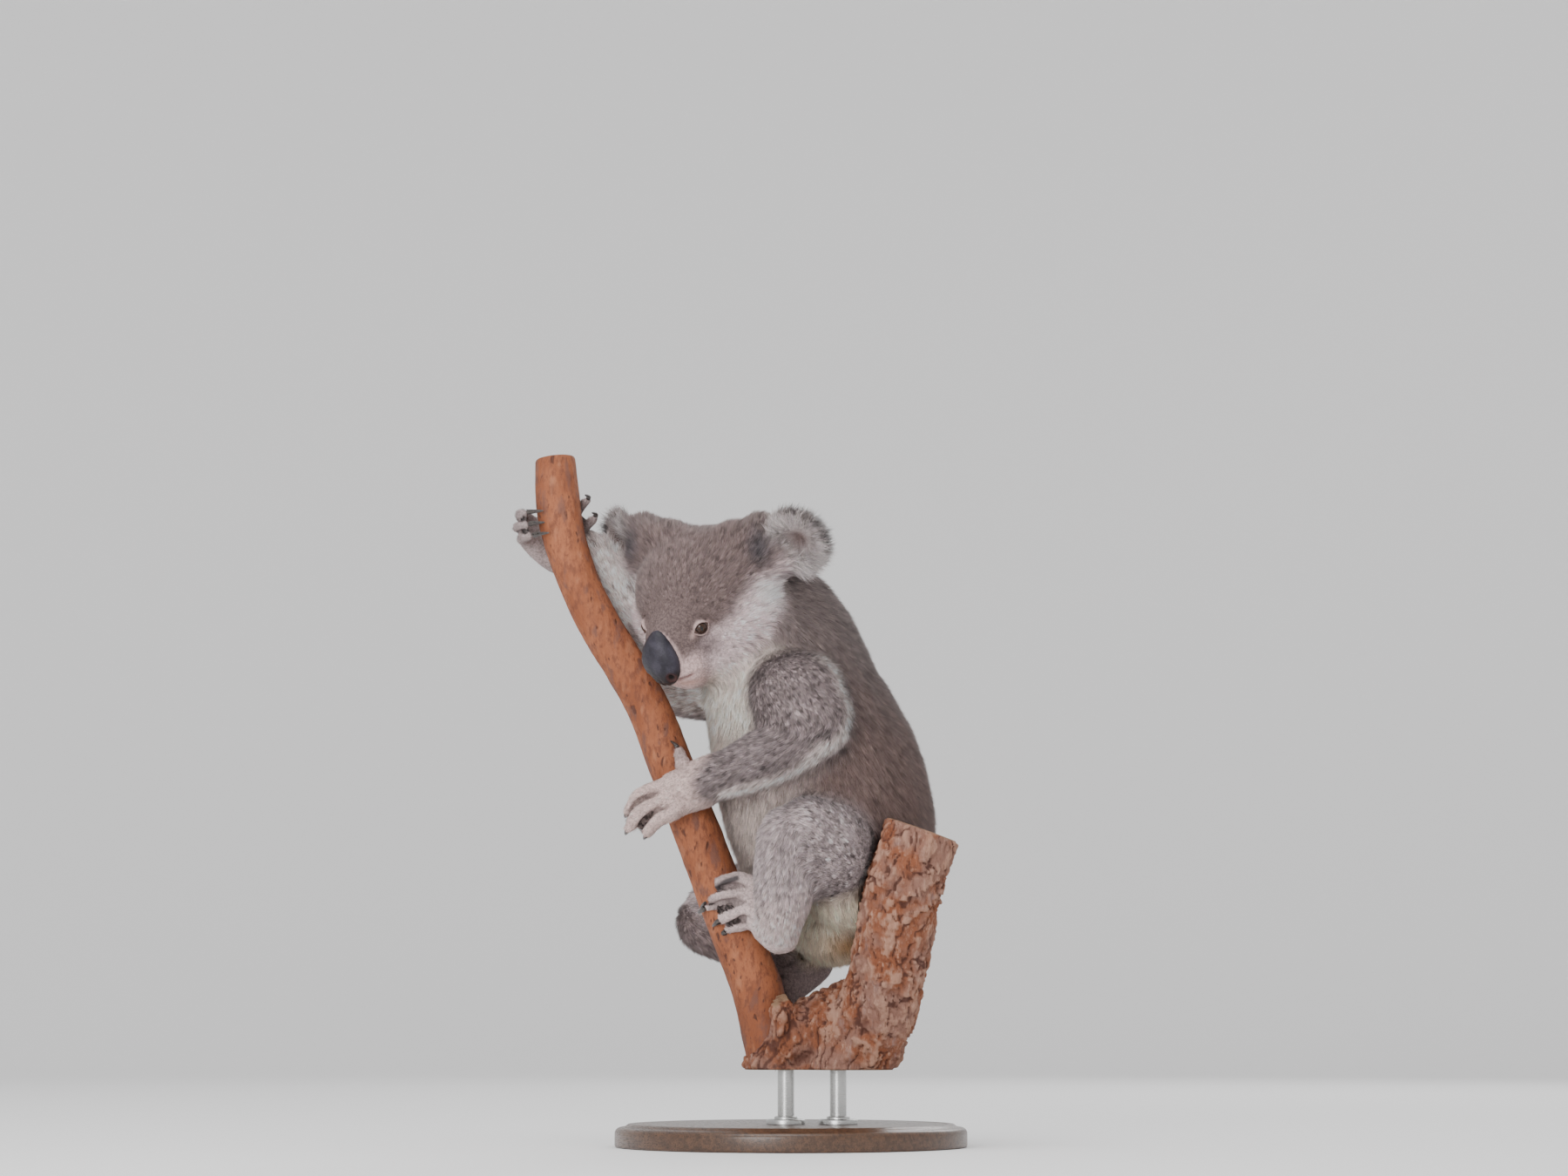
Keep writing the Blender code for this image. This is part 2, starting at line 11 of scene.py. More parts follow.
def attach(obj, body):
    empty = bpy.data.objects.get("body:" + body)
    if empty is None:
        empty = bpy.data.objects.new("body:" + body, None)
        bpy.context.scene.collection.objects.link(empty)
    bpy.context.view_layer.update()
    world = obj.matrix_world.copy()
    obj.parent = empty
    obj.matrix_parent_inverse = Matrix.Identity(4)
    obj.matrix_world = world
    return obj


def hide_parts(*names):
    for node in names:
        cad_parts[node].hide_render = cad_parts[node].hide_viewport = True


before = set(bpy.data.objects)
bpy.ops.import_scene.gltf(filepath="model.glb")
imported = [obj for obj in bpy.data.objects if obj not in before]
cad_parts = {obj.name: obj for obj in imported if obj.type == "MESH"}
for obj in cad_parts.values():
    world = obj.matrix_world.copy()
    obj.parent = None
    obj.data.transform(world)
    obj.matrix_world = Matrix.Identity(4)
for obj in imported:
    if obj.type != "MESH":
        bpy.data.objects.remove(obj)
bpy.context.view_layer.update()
bpy.ops.object.select_all(action="DESELECT")


# ---------------------------------------------------------------- studio
# A pale round floor that turns up into a wall all round, so no edge shows. The camera stands low
# at the animal's left side, under three wide soft lights: above, in front and behind.

CAMERA_PLACE = (3.1927, -1.1692, 0.12)
CAMERA_TILT = math.radians(97.09)
CAMERA_TURN = math.radians(70)
FLOOR_RADIUS = 4.6
WALL_CURVE = 1.6
WALL_HEIGHT = 4.0
CURVE_STEPS = 12
FLOOR_SIDES = 96
LENS = 80
FILM_WIDTH = 36
MERGE_WITHIN = 1e-4


class Finish:
    """A material, or with no colour a shared effect, and short ways to lay out its nodes."""

    def __init__(self, name, colour=None, roughness=0.8, sockets=()):
        if colour is None:
            self.tree = bpy.data.node_groups.new(name, "ShaderNodeTree")
            return
        self.material = bpy.data.materials.new(name)
        self.material.use_nodes = True
        self.tree = self.material.node_tree
        self.shader = self.tree.nodes["Principled BSDF"]
        self.surface({"Base Color": colour, "Roughness": roughness, **dict(sockets)})

    def feed(self, socket, value):
        """Link a socket to another one, or set it; a colour is given without alpha."""
        if isinstance(value, bpy.types.NodeSocket):
            self.tree.links.new(value, socket)
        else:
            socket.default_value = (*value, 1) if socket.type == "RGBA" else value

    def surface(self, sockets):
        for name, value in sockets.items():
            self.feed(self.shader.inputs[name], value)

    def add(self, kind, sockets=(), **settings):
        node = self.tree.nodes.new("ShaderNode" + kind)
        for key, value in settings.items():
            setattr(node, key, value)
        for key, value in dict(sockets).items():
            self.feed(node.inputs[key], value)
        return node

    def place(self):
        return self.add("TexCoord").outputs["Object"]

    def kept(self, name, output="Fac"):
        """A value or colour kept on the mesh."""
        return self.add("Attribute", attribute_name=name).outputs[output]

    def stretched(self, place, scale, turn=(0, 0, 0)):
        return self.add("Mapping", {"Vector": place, "Rotation": turn, "Scale": scale}).outputs[0]

    def noise(self, place, scale, detail=2, **sockets):
        sockets = {"Vector": place, "Scale": scale, "Detail": detail, **sockets}
        return self.add("TexNoise", sockets).outputs["Fac"]

    def cells(self, place, scale):
        return self.add("TexVoronoi", {"Vector": place, "Scale": scale}).outputs

    def calculate(self, operation, *values):
        return self.add("Math", dict(enumerate(values)), operation=operation).outputs[0]

    def step(self, value, low, high, out_low=0.0, out_high=1.0):
        """A smooth step of a value between two limits."""
        limits = {"From Min": low, "From Max": high, "To Min": out_low, "To Max": out_high}
        node = self.add("MapRange", {"Value": value, **limits}, interpolation_type="SMOOTHSTEP")
        return node.outputs["Result"]

    def blend(self, share, first, second, mode="MIX"):
        settings = {"data_type": "RGBA", "blend_type": mode, "clamp_factor": True}
        return self.add("Mix", {0: share, 6: first, 7: second}, **settings).outputs[2]

    def tinted(self, base, tint, value, low, high, strength=1.0):
        """The base colour, turned to the tint where the value goes from low to high."""
        return self.blend(self.step(value, low, high, 0.0, strength), base, tint)

    def bump(self, height, strength, distance):
        relief = {"Height": height, "Strength": strength, "Distance": distance}
        self.surface({"Normal": self.add("Bump", relief).outputs["Normal"]})


def mesh_piece(name, places, faces, material):
    """A mesh object from rows of places and faces, at the origin."""
    mesh = bpy.data.meshes.new(name)
    mesh.from_pydata([tuple(place) for place in places], [], [tuple(face) for face in faces])
    mesh.materials.append(material)
    piece = bpy.data.objects.new(name, mesh)
    bpy.context.scene.collection.objects.link(piece)
    return piece


profile = [(0.0, 0.0), (FLOOR_RADIUS, 0.0)]
for step in range(1, CURVE_STEPS + 1):
    angle = math.pi / 2 * step / CURVE_STEPS
    out, up = WALL_CURVE * math.sin(angle), WALL_CURVE * (1 - math.cos(angle))
    profile.append((FLOOR_RADIUS + out, up))
profile.append((FLOOR_RADIUS + WALL_CURVE, WALL_HEIGHT))
floor_finish = Finish("studio floor", (0.94, 0.935, 0.93), 0.9)
floor = mesh_piece("studio_floor", [(r, 0, z) for r, z in profile], [], floor_finish.material)
floor.data.edges.add(len(profile) - 1)
ends = [step + side for step in range(len(profile) - 1) for side in (0, 1)]
floor.data.edges.foreach_set("vertices", ends)
bpy.context.view_layer.objects.active = floor
bpy.ops.object.mode_set(mode="EDIT")
bpy.ops.mesh.select_all(action="SELECT")
bpy.ops.mesh.spin(steps=FLOOR_SIDES, angle=math.tau, center=(0, 0, 0), axis=(0, 0, 1))
bpy.ops.mesh.remove_doubles(threshold=MERGE_WITHIN)
bpy.ops.mesh.normals_make_consistent(inside=True)
bpy.ops.object.mode_set(mode="OBJECT")
floor.data.shade_smooth()

world = bpy.data.worlds.new("studio")
bpy.context.scene.world = world
world.use_nodes = True
sky = world.node_tree.nodes["Background"].inputs
sky["Color"].default_value = (0.97, 0.975, 0.99, 1)
sky["Strength"].default_value = 0.85

for name, place, aim, size, power in (
    ("light above", (0.9, -0.9, 2.9), (0, 0, 0.35), 2.2, 44),
    ("light in front", (2.35, -2.05, 0.85), (0, -0.1, 0.35), 1.6, 54),
    ("light behind", (-2.4, 2.2, 2.2), (0, 0, 0.4), 1.8, 30),
):
    lamp = bpy.data.lights.new(name, "AREA")
    lamp.shape = "DISK"
    lamp.size = size
    lamp.energy = power
    lamp_object = bpy.data.objects.new(name, lamp)
    lamp_object.location = place
    way = Vector(aim) - Vector(place)
    lamp_object.rotation_euler = way.to_track_quat("-Z", "Y").to_euler()
    bpy.context.scene.collection.objects.link(lamp_object)

camera = bpy.data.objects.new("camera", bpy.data.cameras.new("camera"))
camera.data.lens = LENS
camera.data.sensor_width = FILM_WIDTH
camera.location = CAMERA_PLACE
camera.rotation_euler = (CAMERA_TILT, 0, CAMERA_TURN)
bpy.context.scene.collection.objects.link(camera)
bpy.context.scene.camera = camera


# ---------------------------------------------------------------- display stand
# A round base turned from dark stained hardwood, with a rounded rim and a shallow turned step,
# and two steel rods that screw into round flanges on it and run up into the cut fork.

BASE_RADIUS = 0.170
BASE_HEIGHT = 0.022
FIELD_RISE = 0.003                   # of the round field above the shoulder
BEAD_DEPTH = 0.0012
ROD_RADIUS = 0.008
FLANGE_RADIUS = 0.019
FLANGE_HEIGHT = 0.0046
COLLAR_WIDTH = 0.0032
COLLAR_HEIGHT = 0.0028
ROD_TOP = 0.074
ROD_GAP = 0.0004                     # left between the rods and the pieces they meet
EDGE_ROUNDING = 0.0016
BASE_SIDES = 128
ROD_SIDES = 48
TURNED_CREASE = math.radians(40)
RING_TOLERANCE = 2e-4
# the turned top, from the rim inwards: how wide each step is, and how far it rises
BASE_PROFILE = (
    (0.0085, 0), (0.0022, 0.45 * FIELD_RISE), (0.0022, 0.55 * FIELD_RISE), (0.0060, 0),
    (0.0014, -BEAD_DEPTH), (0.0014, BEAD_DEPTH), (0.0040, 0), (0.0800, 0),
)
ROD_PLACES = {"stand_rod_front": (0.01725, -0.0115), "stand_rod_back": (0.03475, 0.0355)}


def select_where(piece, kind, test):
    """Select only the faces or edges, of a piece in edit mode, that pass the test."""
    bpy.ops.mesh.select_all(action="DESELECT")
    shape = bmesh.from_edit_mesh(piece.data)
    for part in getattr(shape, kind):
        if test(part):
            part.select_set(True)
    shape.select_flush_mode()
    bmesh.update_edit_mesh(piece.data)


def ring_edge(edge, centre, radius, height):
    """True for an edge of the circle of that radius and height round an upright axis."""
    return all(
        abs(math.hypot(corner.co.x - centre[0], corner.co.y - centre[1]) - radius) < RING_TOLERANCE
        and abs(corner.co.z - height) < RING_TOLERANCE
        for corner in edge.verts
    )


timber = Finish(
    "stained timber", (0.09, 0.045, 0.022), 0.38, {"Coat Weight": 0.25, "Coat Roughness": 0.2}
)
place = timber.place()
grain = timber.noise(timber.stretched(place, (1.2, 14, 14)), 16, 6, Roughness=0.6, Distortion=0.6)
pores = timber.noise(timber.stretched(place, (6, 90, 90)), 14)
stain = timber.blend(timber.step(grain, 0.35, 0.65), (0.052, 0.025, 0.013), (0.100, 0.048, 0.024))
timber.surface({
    "Base Color": timber.tinted(stain, (0.02, 0.01, 0.006), pores, 0.56, 0.66),
    "Roughness": timber.step(pores, 0.4, 0.7, 0.30, 0.5),
})
timber.bump(pores, 0.25, 0.0006)

shoulder = BASE_HEIGHT - FIELD_RISE
bpy.ops.mesh.primitive_cylinder_add(
    vertices=BASE_SIDES, radius=BASE_RADIUS, depth=shoulder, location=(0, 0, shoulder / 2)
)
stand_base = bpy.context.object
stand_base.name = "turned_base"
bpy.ops.object.transform_apply(location=True)
bpy.ops.object.mode_set(mode="EDIT")
select_where(stand_base, "faces", lambda face: face.normal.z > 0.9)
for width, lift in BASE_PROFILE:
    bpy.ops.mesh.inset(thickness=width)
    bpy.ops.transform.translate(value=(0, 0, lift))
for height, rounding, segments in ((shoulder, 0.0060, 8), (0, 0.0024, 4)):
    select_where(stand_base, "edges", lambda edge: ring_edge(edge, (0, 0), BASE_RADIUS, height))
    bpy.ops.mesh.bevel(offset=rounding, segments=segments, affect="EDGES")
bpy.ops.object.mode_set(mode="OBJECT")
stand_base.data.shade_smooth()
stand_base.data.set_sharp_from_angle(angle=TURNED_CREASE)
stand_base.data.materials.append(timber.material)
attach(stand_base, "root")
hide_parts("stand_base")

steel = Finish("brushed steel", (0.50, 0.50, 0.49), 0.32, {"Metallic": 1.0})
brushing = steel.noise(steel.stretched(steel.place(), (40, 40, 900)), 3, 3)
steel.surface({
    "Roughness": steel.step(brushing, 0.3, 0.7, 0.24, 0.42),
    "Base Color": steel.blend(brushing, (0.42, 0.42, 0.41), (0.58, 0.58, 0.57)),
})
steel.bump(brushing, 0.12, 0.0002)

for node_name, centre in ROD_PLACES.items():
    foot = BASE_HEIGHT + ROD_GAP
    flange_top = foot + FLANGE_HEIGHT
    collar = ROD_RADIUS + COLLAR_WIDTH
    bpy.ops.mesh.primitive_cylinder_add(
        vertices=ROD_SIDES, radius=FLANGE_RADIUS, depth=FLANGE_HEIGHT,
        location=(*centre, foot + FLANGE_HEIGHT / 2),
    )
    rod = bpy.context.object
    rod.name = "steel_" + node_name.removeprefix("stand_")
    bpy.ops.object.transform_apply(location=True)
    bpy.ops.object.mode_set(mode="EDIT")
    select_where(rod, "faces", lambda face: face.normal.z > 0.9)
    rod_length = ROD_TOP - ROD_GAP - flange_top - COLLAR_HEIGHT
    for inset, rise in ((FLANGE_RADIUS - collar, COLLAR_HEIGHT), (COLLAR_WIDTH, rod_length)):
        bpy.ops.mesh.inset(thickness=inset)
        bpy.ops.mesh.extrude_region_move(TRANSFORM_OT_translate={"value": (0, 0, rise)})
    for radius, height in ((FLANGE_RADIUS, flange_top), (collar, flange_top + COLLAR_HEIGHT)):
        select_where(rod, "edges", lambda edge: ring_edge(edge, centre, radius, height))
        bpy.ops.mesh.bevel(offset=EDGE_ROUNDING, segments=4, affect="EDGES")
    bpy.ops.object.mode_set(mode="OBJECT")
    rod.data.shade_smooth()
    rod.data.set_sharp_from_angle(angle=TURNED_CREASE)
    rod.data.materials.append(steel.material)
    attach(rod, "root")
    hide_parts(node_name)


# ---------------------------------------------------------------- slim branch
# The limb the animal holds: living gum wood in smooth orange-tan bark with dark brown flecks
# and faint knots. It is sawn square at the top, and grows out of the fork below.

BRANCH = (
    (0.010, -0.016, 0.062), (0.006, -0.025, 0.105), (0.004, -0.038, 0.155), (0.000, -0.066, 0.226),
    (-0.006, -0.091, 0.293), (-0.014, -0.119, 0.367), (-0.026, -0.141, 0.428),
    (-0.042, -0.193, 0.521), (-0.054, -0.218, 0.597), (-0.062, -0.224, 0.668),
)
BRANCH_ENDS = (0.0262, 0.0182)
BRANCH_SWELL = 0.0028
BRANCH_SIDES = 72
# how far along, which side it faces (radians), how far it stands out
BRANCH_KNOTS = (
    (0.22, 0.9, 0.0016), (0.36, 3.6, 0.0014), (0.55, 5.6, 0.0018), (0.70, 0.4, 0.0015),
    (0.88, 2.2, 0.0016),
)
SAWN_ROUNDING = (0.0009, 0.0012)
SAWN_SETBACK = 0.0006
BARK_WAVES = 0.0007
BARK_GRAIN = 0.00025
SAWN_CREASE = math.radians(48)
PERCH_FOOT = 0.074


def curve_through(points, steps):
    """Points on a smooth curve through the given ones, as an array."""
    points = np.array(points, float)
    ends = np.vstack([points[0] * 2 - points[1], points, points[-1] * 2 - points[-2]])
    found = []
    for a, b, c, d in zip(ends, ends[1:], ends[2:], ends[3:]):
        for step in range(steps):
            t = step / steps
            square, cube = a * 2 - b * 5 + c * 4 - d, b * 3 - a - c * 3 + d
            found.append((b * 2 + (c - a) * t + square * t**2 + cube * t**3) / 2)
    return np.array(found + [points[-1]])


def fractal(places, scale, octaves, seed=0.0):
    """Smooth random height between about -1 and 1 at each place."""
    return np.array([
        noise.fractal((x * scale + seed, y * scale - seed, z * scale + seed), 0.9, 2.0, octaves)
        for x, y, z in places
    ])


def swept(path, radii, sides, name, material):
    """Round tube along an array of points, closed at both ends."""
    tangents = np.gradient(path, axis=0)
    tangents /= np.linalg.norm(tangents, axis=1)[:, None]
    across = np.cross(tangents, (0.0, 0.3, 1.0) if abs(tangents[0][2]) < 0.8 else (1.0, 0.0, 0.0))
    across /= np.linalg.norm(across, axis=1)[:, None]
    through = np.cross(tangents, across)
    turn = np.arange(sides) * math.tau / sides
    cosine, sine = np.cos(turn)[None, :, None], np.sin(turn)[None, :, None]
    rings = path[:, None] + np.array(radii)[:, None, None] * (
        across[:, None] * cosine + through[:, None] * sine
    )
    places = rings.reshape(-1, 3)
    count = len(path)
    starts = np.arange(count - 1)[:, None] * sides
    low = (starts + np.arange(sides)).ravel()
    beside = (starts + (np.arange(sides) + 1) % sides).ravel()
    faces = np.stack([low, beside, beside + sides, low + sides], 1).tolist()
    faces += [list(range(sides))[::-1], list(range((count - 1) * sides, count * sides))]
    piece = mesh_piece(name, places, faces, material)
    shape = bmesh.new()
    shape.from_mesh(piece.data)
    bmesh.ops.recalc_face_normals(shape, faces=shape.faces[:])
    shape.to_mesh(piece.data)
    shape.free()
    return piece


def set_number(piece, name, values):
    layer = piece.data.attributes.new(name, "FLOAT", "POINT")
    layer.data.foreach_set("value", np.asarray(values, np.float32))


def places_of(piece):
    places = np.empty(len(piece.data.vertices) * 3)
    piece.data.vertices.foreach_get("co", places)
    return places.reshape(-1, 3)


def normals_of(piece):
    normals = np.empty(len(piece.data.vertices) * 3, np.float32)
    piece.data.vertex_normals.foreach_get("vector", normals)
    return normals.reshape(-1, 3).astype(float)


def move_to(piece, places):
    piece.data.vertices.foreach_set("co", np.asarray(places, np.float32).ravel())
    piece.data.update()


def smooth_step(value, low, high):
    share = np.clip((value - low) / (high - low), 0, 1)
    return share * share * (3 - 2 * share)


def fades(distance, width):
    """1 at no distance, falling smoothly to nearly 0 at twice the width."""
    return np.exp(-((distance / width) ** 2))


# Sawn wood: paler and darker growth rings, told by the distance from the pith
end_grain = Finish("end grain")
for label, way, kind in (
    ("Place", "INPUT", "NodeSocketVector"), ("From Pith", "INPUT", "NodeSocketFloat"),
    ("Color", "OUTPUT", "NodeSocketColor"),
):
    end_grain.tree.interface.new_socket(label, in_out=way, socket_type=kind)
entrance = end_grain.tree.nodes.new("NodeGroupInput").outputs
wobble = end_grain.noise(entrance["Place"], 60, 3)
bent = end_grain.calculate("MULTIPLY_ADD", wobble, 0.0040, entrance["From Pith"])
rings = end_grain.calculate("SINE", end_grain.calculate("MULTIPLY", bent, 3800.0))
wood = end_grain.blend(end_grain.step(rings, -0.6, 1.0), (0.36, 0.225, 0.140), (0.29, 0.170, 0.100))
wood = end_grain.tinted(wood, (0.16, 0.09, 0.055), wobble, 0.55, 0.75)
end_grain.feed(end_grain.tree.nodes.new("NodeGroupOutput").inputs["Color"], wood)


def bark_or_wood(finish, bark):
    """The bark, with end grain in its place where the wood is sawn, as kept on the mesh."""
    sockets = {"Place": finish.place(), "From Pith": finish.kept("from_pith")}
    grain = finish.add("Group", node_tree=end_grain.tree)
    for name, value in sockets.items():
        finish.feed(grain.inputs[name], value)
    finish.surface({"Base Color": finish.blend(finish.kept("cut"), bark, grain.outputs["Color"])})


smooth_bark = Finish("smooth bark", (0.36, 0.15, 0.085), 0.72, {"Specular IOR Level": 0.3})
along = smooth_bark.stretched(
    smooth_bark.place(), (1, 1, 0.45), (math.radians(-20), math.radians(5), 0)
)
cloud = smooth_bark.noise(along, 26, 5, Roughness=0.6)
mottle = smooth_bark.noise(along, 210, 5, Roughness=0.7)
pale = smooth_bark.noise(along, 80, 4)
tan = smooth_bark.tinted((0.235, 0.072, 0.030), (0.370, 0.130, 0.060), cloud, 0.36, 0.66)
for tint, value, low, high, strength in (
    ((0.150, 0.050, 0.028), mottle, 0.44, 0.66, 0.8),
    ((0.450, 0.190, 0.100), pale, 0.58, 0.72, 0.45),
    ((0.140, 0.068, 0.055), pale, 0.44, 0.32, 0.65),
):
    tan = smooth_bark.tinted(tan, tint, value, low, high, strength)
drift = smooth_bark.add("TexNoise", {"Vector": along, "Scale": 160, "Detail": 3}).outputs["Color"]
uneven = smooth_bark.add(
    "VectorMath", {0: drift, 1: (0.007, 0.007, 0.007), 2: along}, operation="MULTIPLY_ADD"
).outputs[0]
large_flecks = None
for scale, least, reach in ((120.0, 0.62, 0.30), (260.0, 0.70, 0.34)):
    cells = smooth_bark.cells(uneven, scale)
    size = smooth_bark.add("SeparateColor", {"Color": cells["Color"]}).outputs[0]
    edge = smooth_bark.step(size, least, 1.0, 0.0, reach)
    flecks = smooth_bark.step(
        smooth_bark.calculate("SUBTRACT", edge, cells["Distance"]), -0.02, 0.12, 0.0, 0.85
    )
    tan = smooth_bark.blend(flecks, tan, (0.085, 0.032, 0.022))
    large_flecks = large_flecks or flecks
bark_or_wood(smooth_bark, tan)
smooth_bark.bump(smooth_bark.calculate("MULTIPLY_ADD", large_flecks, -1.0, mottle), 0.8, 0.0016)

path = curve_through(BRANCH, 40)
share = np.linspace(0, 1, len(path))
reach = BRANCH_ENDS[0] + (BRANCH_ENDS[1] - BRANCH_ENDS[0]) * share
reach = reach + BRANCH_SWELL * fades(share - 0.93, 0.07)
path[:, 2] = np.maximum(path[:, 2], PERCH_FOOT)
keep = np.concatenate([[True], np.diff(path[:, 2]) > 1e-5])
slim_branch = swept(path[keep], reach[keep], BRANCH_SIDES, "slim_branch", smooth_bark.material)
places = places_of(slim_branch)
ring = np.repeat(np.arange(int(keep.sum())), BRANCH_SIDES)
share = share[keep][ring]
outward = places - path[keep][ring]
radius = np.linalg.norm(outward, axis=1)
outward /= radius[:, None]
angle = np.arctan2(outward[:, 1], outward[:, 0]) % math.tau
relief = BARK_WAVES * fractal(places * (1, 1, 0.4), 38, 3)
relief += BARK_GRAIN * fractal(places * (1, 1, 0.5), 160, 2, 4.0)
for height, side, rise in BRANCH_KNOTS:
    apart = (angle - side + math.pi) % math.tau - math.pi
    near_knot = np.exp(-(((share - height) / 0.014) ** 2) - (apart / 0.42) ** 2)
    pit = np.exp(-(((share - height) / 0.005) ** 2) - (apart / 0.16) ** 2)
    relief += rise * near_knot - 1.5 * rise * pit
at_end = (ring == 0) | (ring == ring.max())
places = places + outward * np.where(at_end, relief - SAWN_SETBACK, relief)[:, None]
places[:, 2] = np.maximum(places[:, 2], PERCH_FOOT)
move_to(slim_branch, places)
set_number(slim_branch, "cut", np.zeros(len(places)))
set_number(slim_branch, "from_pith", radius)
bpy.context.view_layer.objects.active = slim_branch
bpy.ops.object.mode_set(mode="EDIT")
select_where(slim_branch, "faces", lambda face: len(face.verts) > 4)
for width in SAWN_ROUNDING:
    bpy.ops.mesh.inset(thickness=width)
shape = bmesh.from_edit_mesh(slim_branch.data)
cut_layer = shape.verts.layers.float["cut"]
pith_layer = shape.verts.layers.float["from_pith"]
for face in [face for face in shape.faces if len(face.verts) > 4]:
    hub = bmesh.ops.poke(shape, faces=[face])["verts"][0]
    hub[cut_layer] = 1.0
    hub[pith_layer] = 0.0
    for edge in hub.link_edges:
        rim_corner = edge.other_vert(hub)
        rim_corner[cut_layer] = 1.0
        rim_corner[pith_layer] = (rim_corner.co - hub.co).length
bmesh.update_edit_mesh(slim_branch.data)
bpy.ops.object.mode_set(mode="OBJECT")
slim_branch.data.shade_smooth()
slim_branch.data.set_sharp_from_angle(angle=SAWN_CREASE)
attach(slim_branch, "root")
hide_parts("perch_branch")


# ---------------------------------------------------------------- fork of the old stem
# The thick limb and the crotch the branch springs from, in rough pinkish-brown bark that is
# cracked along its length and scaly. The top, the underside and a dead side shoot are sawn.

STEM_TOP = Vector((0.130, 0.086, 0.300))
STEM_CUT = Vector((0.15, 0.30, 0.94)).normalized()
SHOOT_TOP = Vector((0.0420, -0.0240, 0.1425))
SHOOT_CUT = Vector((0.30, -0.42, 0.85)).normalized()
STEM_LINE = (
    (0.048, 0.044, 0.074), (0.068, 0.058, 0.118), (0.098, 0.064, 0.172), (0.120, 0.068, 0.241),
    (0.132, 0.088, 0.310),
)
BARK_VOXEL = 0.0019
BARK_SMOOTHINGS = 26
BARK_RELIEF = 0.0016
SAWN_EDGE = 0.0016
SAWN_REACH = 0.03
SHOOT_REACH = 0.022
FOOT_PITH = (0.050, 0.042)


def melted_copy(name, node_names, grow, voxel, passes, material, drawn_in=()):
    """One even mesh over copies of CAD nodes, each grown a little so that neighbours meet.

    Nodes in drawn_in are first scaled about a place of their own."""
    shape = bmesh.new()
    for node_name in node_names:
        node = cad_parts[node_name]
        part = bmesh.new()
        part.from_mesh(node.data)
        bmesh.ops.remove_doubles(part, verts=part.verts[:], dist=1e-5)
        bmesh.ops.recalc_face_normals(part, faces=part.faces[:])
        part.normal_update()
        for vertex in part.verts:
            vertex.co += vertex.normal * grow
        if node_name in drawn_in:
            centre, factor = drawn_in[node_name]
            for vertex in part.verts:
                vertex.co = centre + (vertex.co - centre) * factor
        joined = bpy.data.meshes.new("part")
        part.to_mesh(joined)
        part.free()
        shape.from_mesh(joined)
        bpy.data.meshes.remove(joined)
    mesh = bpy.data.meshes.new(name)
    shape.to_mesh(mesh)
    shape.free()
    mesh.materials.clear()
    mesh.materials.append(material)
    piece = bpy.data.objects.new(name, mesh)
    bpy.context.scene.collection.objects.link(piece)
    bpy.context.view_layer.objects.active = piece
    remesh = piece.modifiers.new("melt", "REMESH")
    remesh.mode = "VOXEL"
    remesh.voxel_size = voxel
    smooth = piece.modifiers.new("smooth", "SMOOTH")
    smooth.iterations = passes
    smooth.factor = 0.5
    bpy.ops.object.modifier_apply(modifier="melt")
    bpy.ops.object.modifier_apply(modifier="smooth")
    return piece


rough_bark = Finish("rough bark", (0.25, 0.12, 0.085), 0.9, {"Specular IOR Level": 0.2})
place = rough_bark.place()
along = rough_bark.stretched(place, (1, 1, 0.38), (math.radians(-8), math.radians(-16), 0))
height, crack = rough_bark.kept("bark_height"), rough_bark.kept("bark_crack")
grit = rough_bark.noise(along, 210, 6, Roughness=0.72)
cloud = rough_bark.noise(place, 30, 4)
lichen = rough_bark.noise(along, 75, 6, Roughness=0.7)
bark = rough_bark.tinted((0.255, 0.090, 0.046), (0.265, 0.138, 0.103), cloud, 0.42, 0.60)
# Painted highlights: the bark is paler on its high ridges and on raised grit. Painted shade: it is
# darker on low grit, in the cracks and in the deepest furrows.
for tint, value, low, high, strength in (
    ((0.420, 0.240, 0.170), height, 0.2, 1.4, 0.75),
    ((0.500, 0.315, 0.235), grit, 0.52, 0.72, 0.75),
    ((0.120, 0.050, 0.034), grit, 0.47, 0.32, 0.8),
    ((0.300, 0.205, 0.185), lichen, 0.58, 0.70, 0.5),
    ((0.085, 0.036, 0.028), crack, 0.25, 0.95, 0.85),
    ((0.110, 0.045, 0.032), height, -1.0, -2.2, 0.7),
):
    bark = rough_bark.tinted(bark, tint, value, low, high, strength)
bark_or_wood(rough_bark, bark)
rough_bark.bump(rough_bark.calculate("MULTIPLY_ADD", lichen, 1.6, grit), 0.9, 0.0026)

old_fork = melted_copy(
    "old_fork", ["perch_fork"], 0.0, BARK_VOXEL, BARK_SMOOTHINGS, rough_bark.material
)
places = places_of(old_fork)
normals = normals_of(old_fork)
stem = curve_through(STEM_LINE, 12)
nearest = np.linalg.norm(places[:, None] - stem[None], axis=2).argmin(1)
grain_way = np.gradient(stem, axis=0)
grain_way /= np.linalg.norm(grain_way, axis=1)[:, None]
lengthwise = (places * grain_way[nearest]).sum(1)
squeezed = places - grain_way[nearest] * (lengthwise * 0.74)[:, None]
bent = squeezed + 0.006 * np.stack([fractal(places, 45, 2, seed) for seed in (11.0, 17.0, 23.0)], 1)
crack = fades(fractal(bent, 52, 3, 2.0), 0.10)
lumps = fractal(bent, 60, 3, 7.0)
knobs = fractal(places, 105, 3, 9.0)
fine = fractal(squeezed, 240, 3, 5.0)
bark_height = lumps + 0.45 * knobs + 0.35 * fine - 0.6 * crack
bark_height = (bark_height - bark_height.mean()) / bark_height.std()
stem_cut = (STEM_TOP, STEM_CUT, STEM_TOP)
foot_cut = (Vector((0, 0, PERCH_FOOT)), Vector((0, 0, -1)), (*FOOT_PITH, PERCH_FOOT))
shoot_cut = (SHOOT_TOP, SHOOT_CUT, SHOOT_TOP)
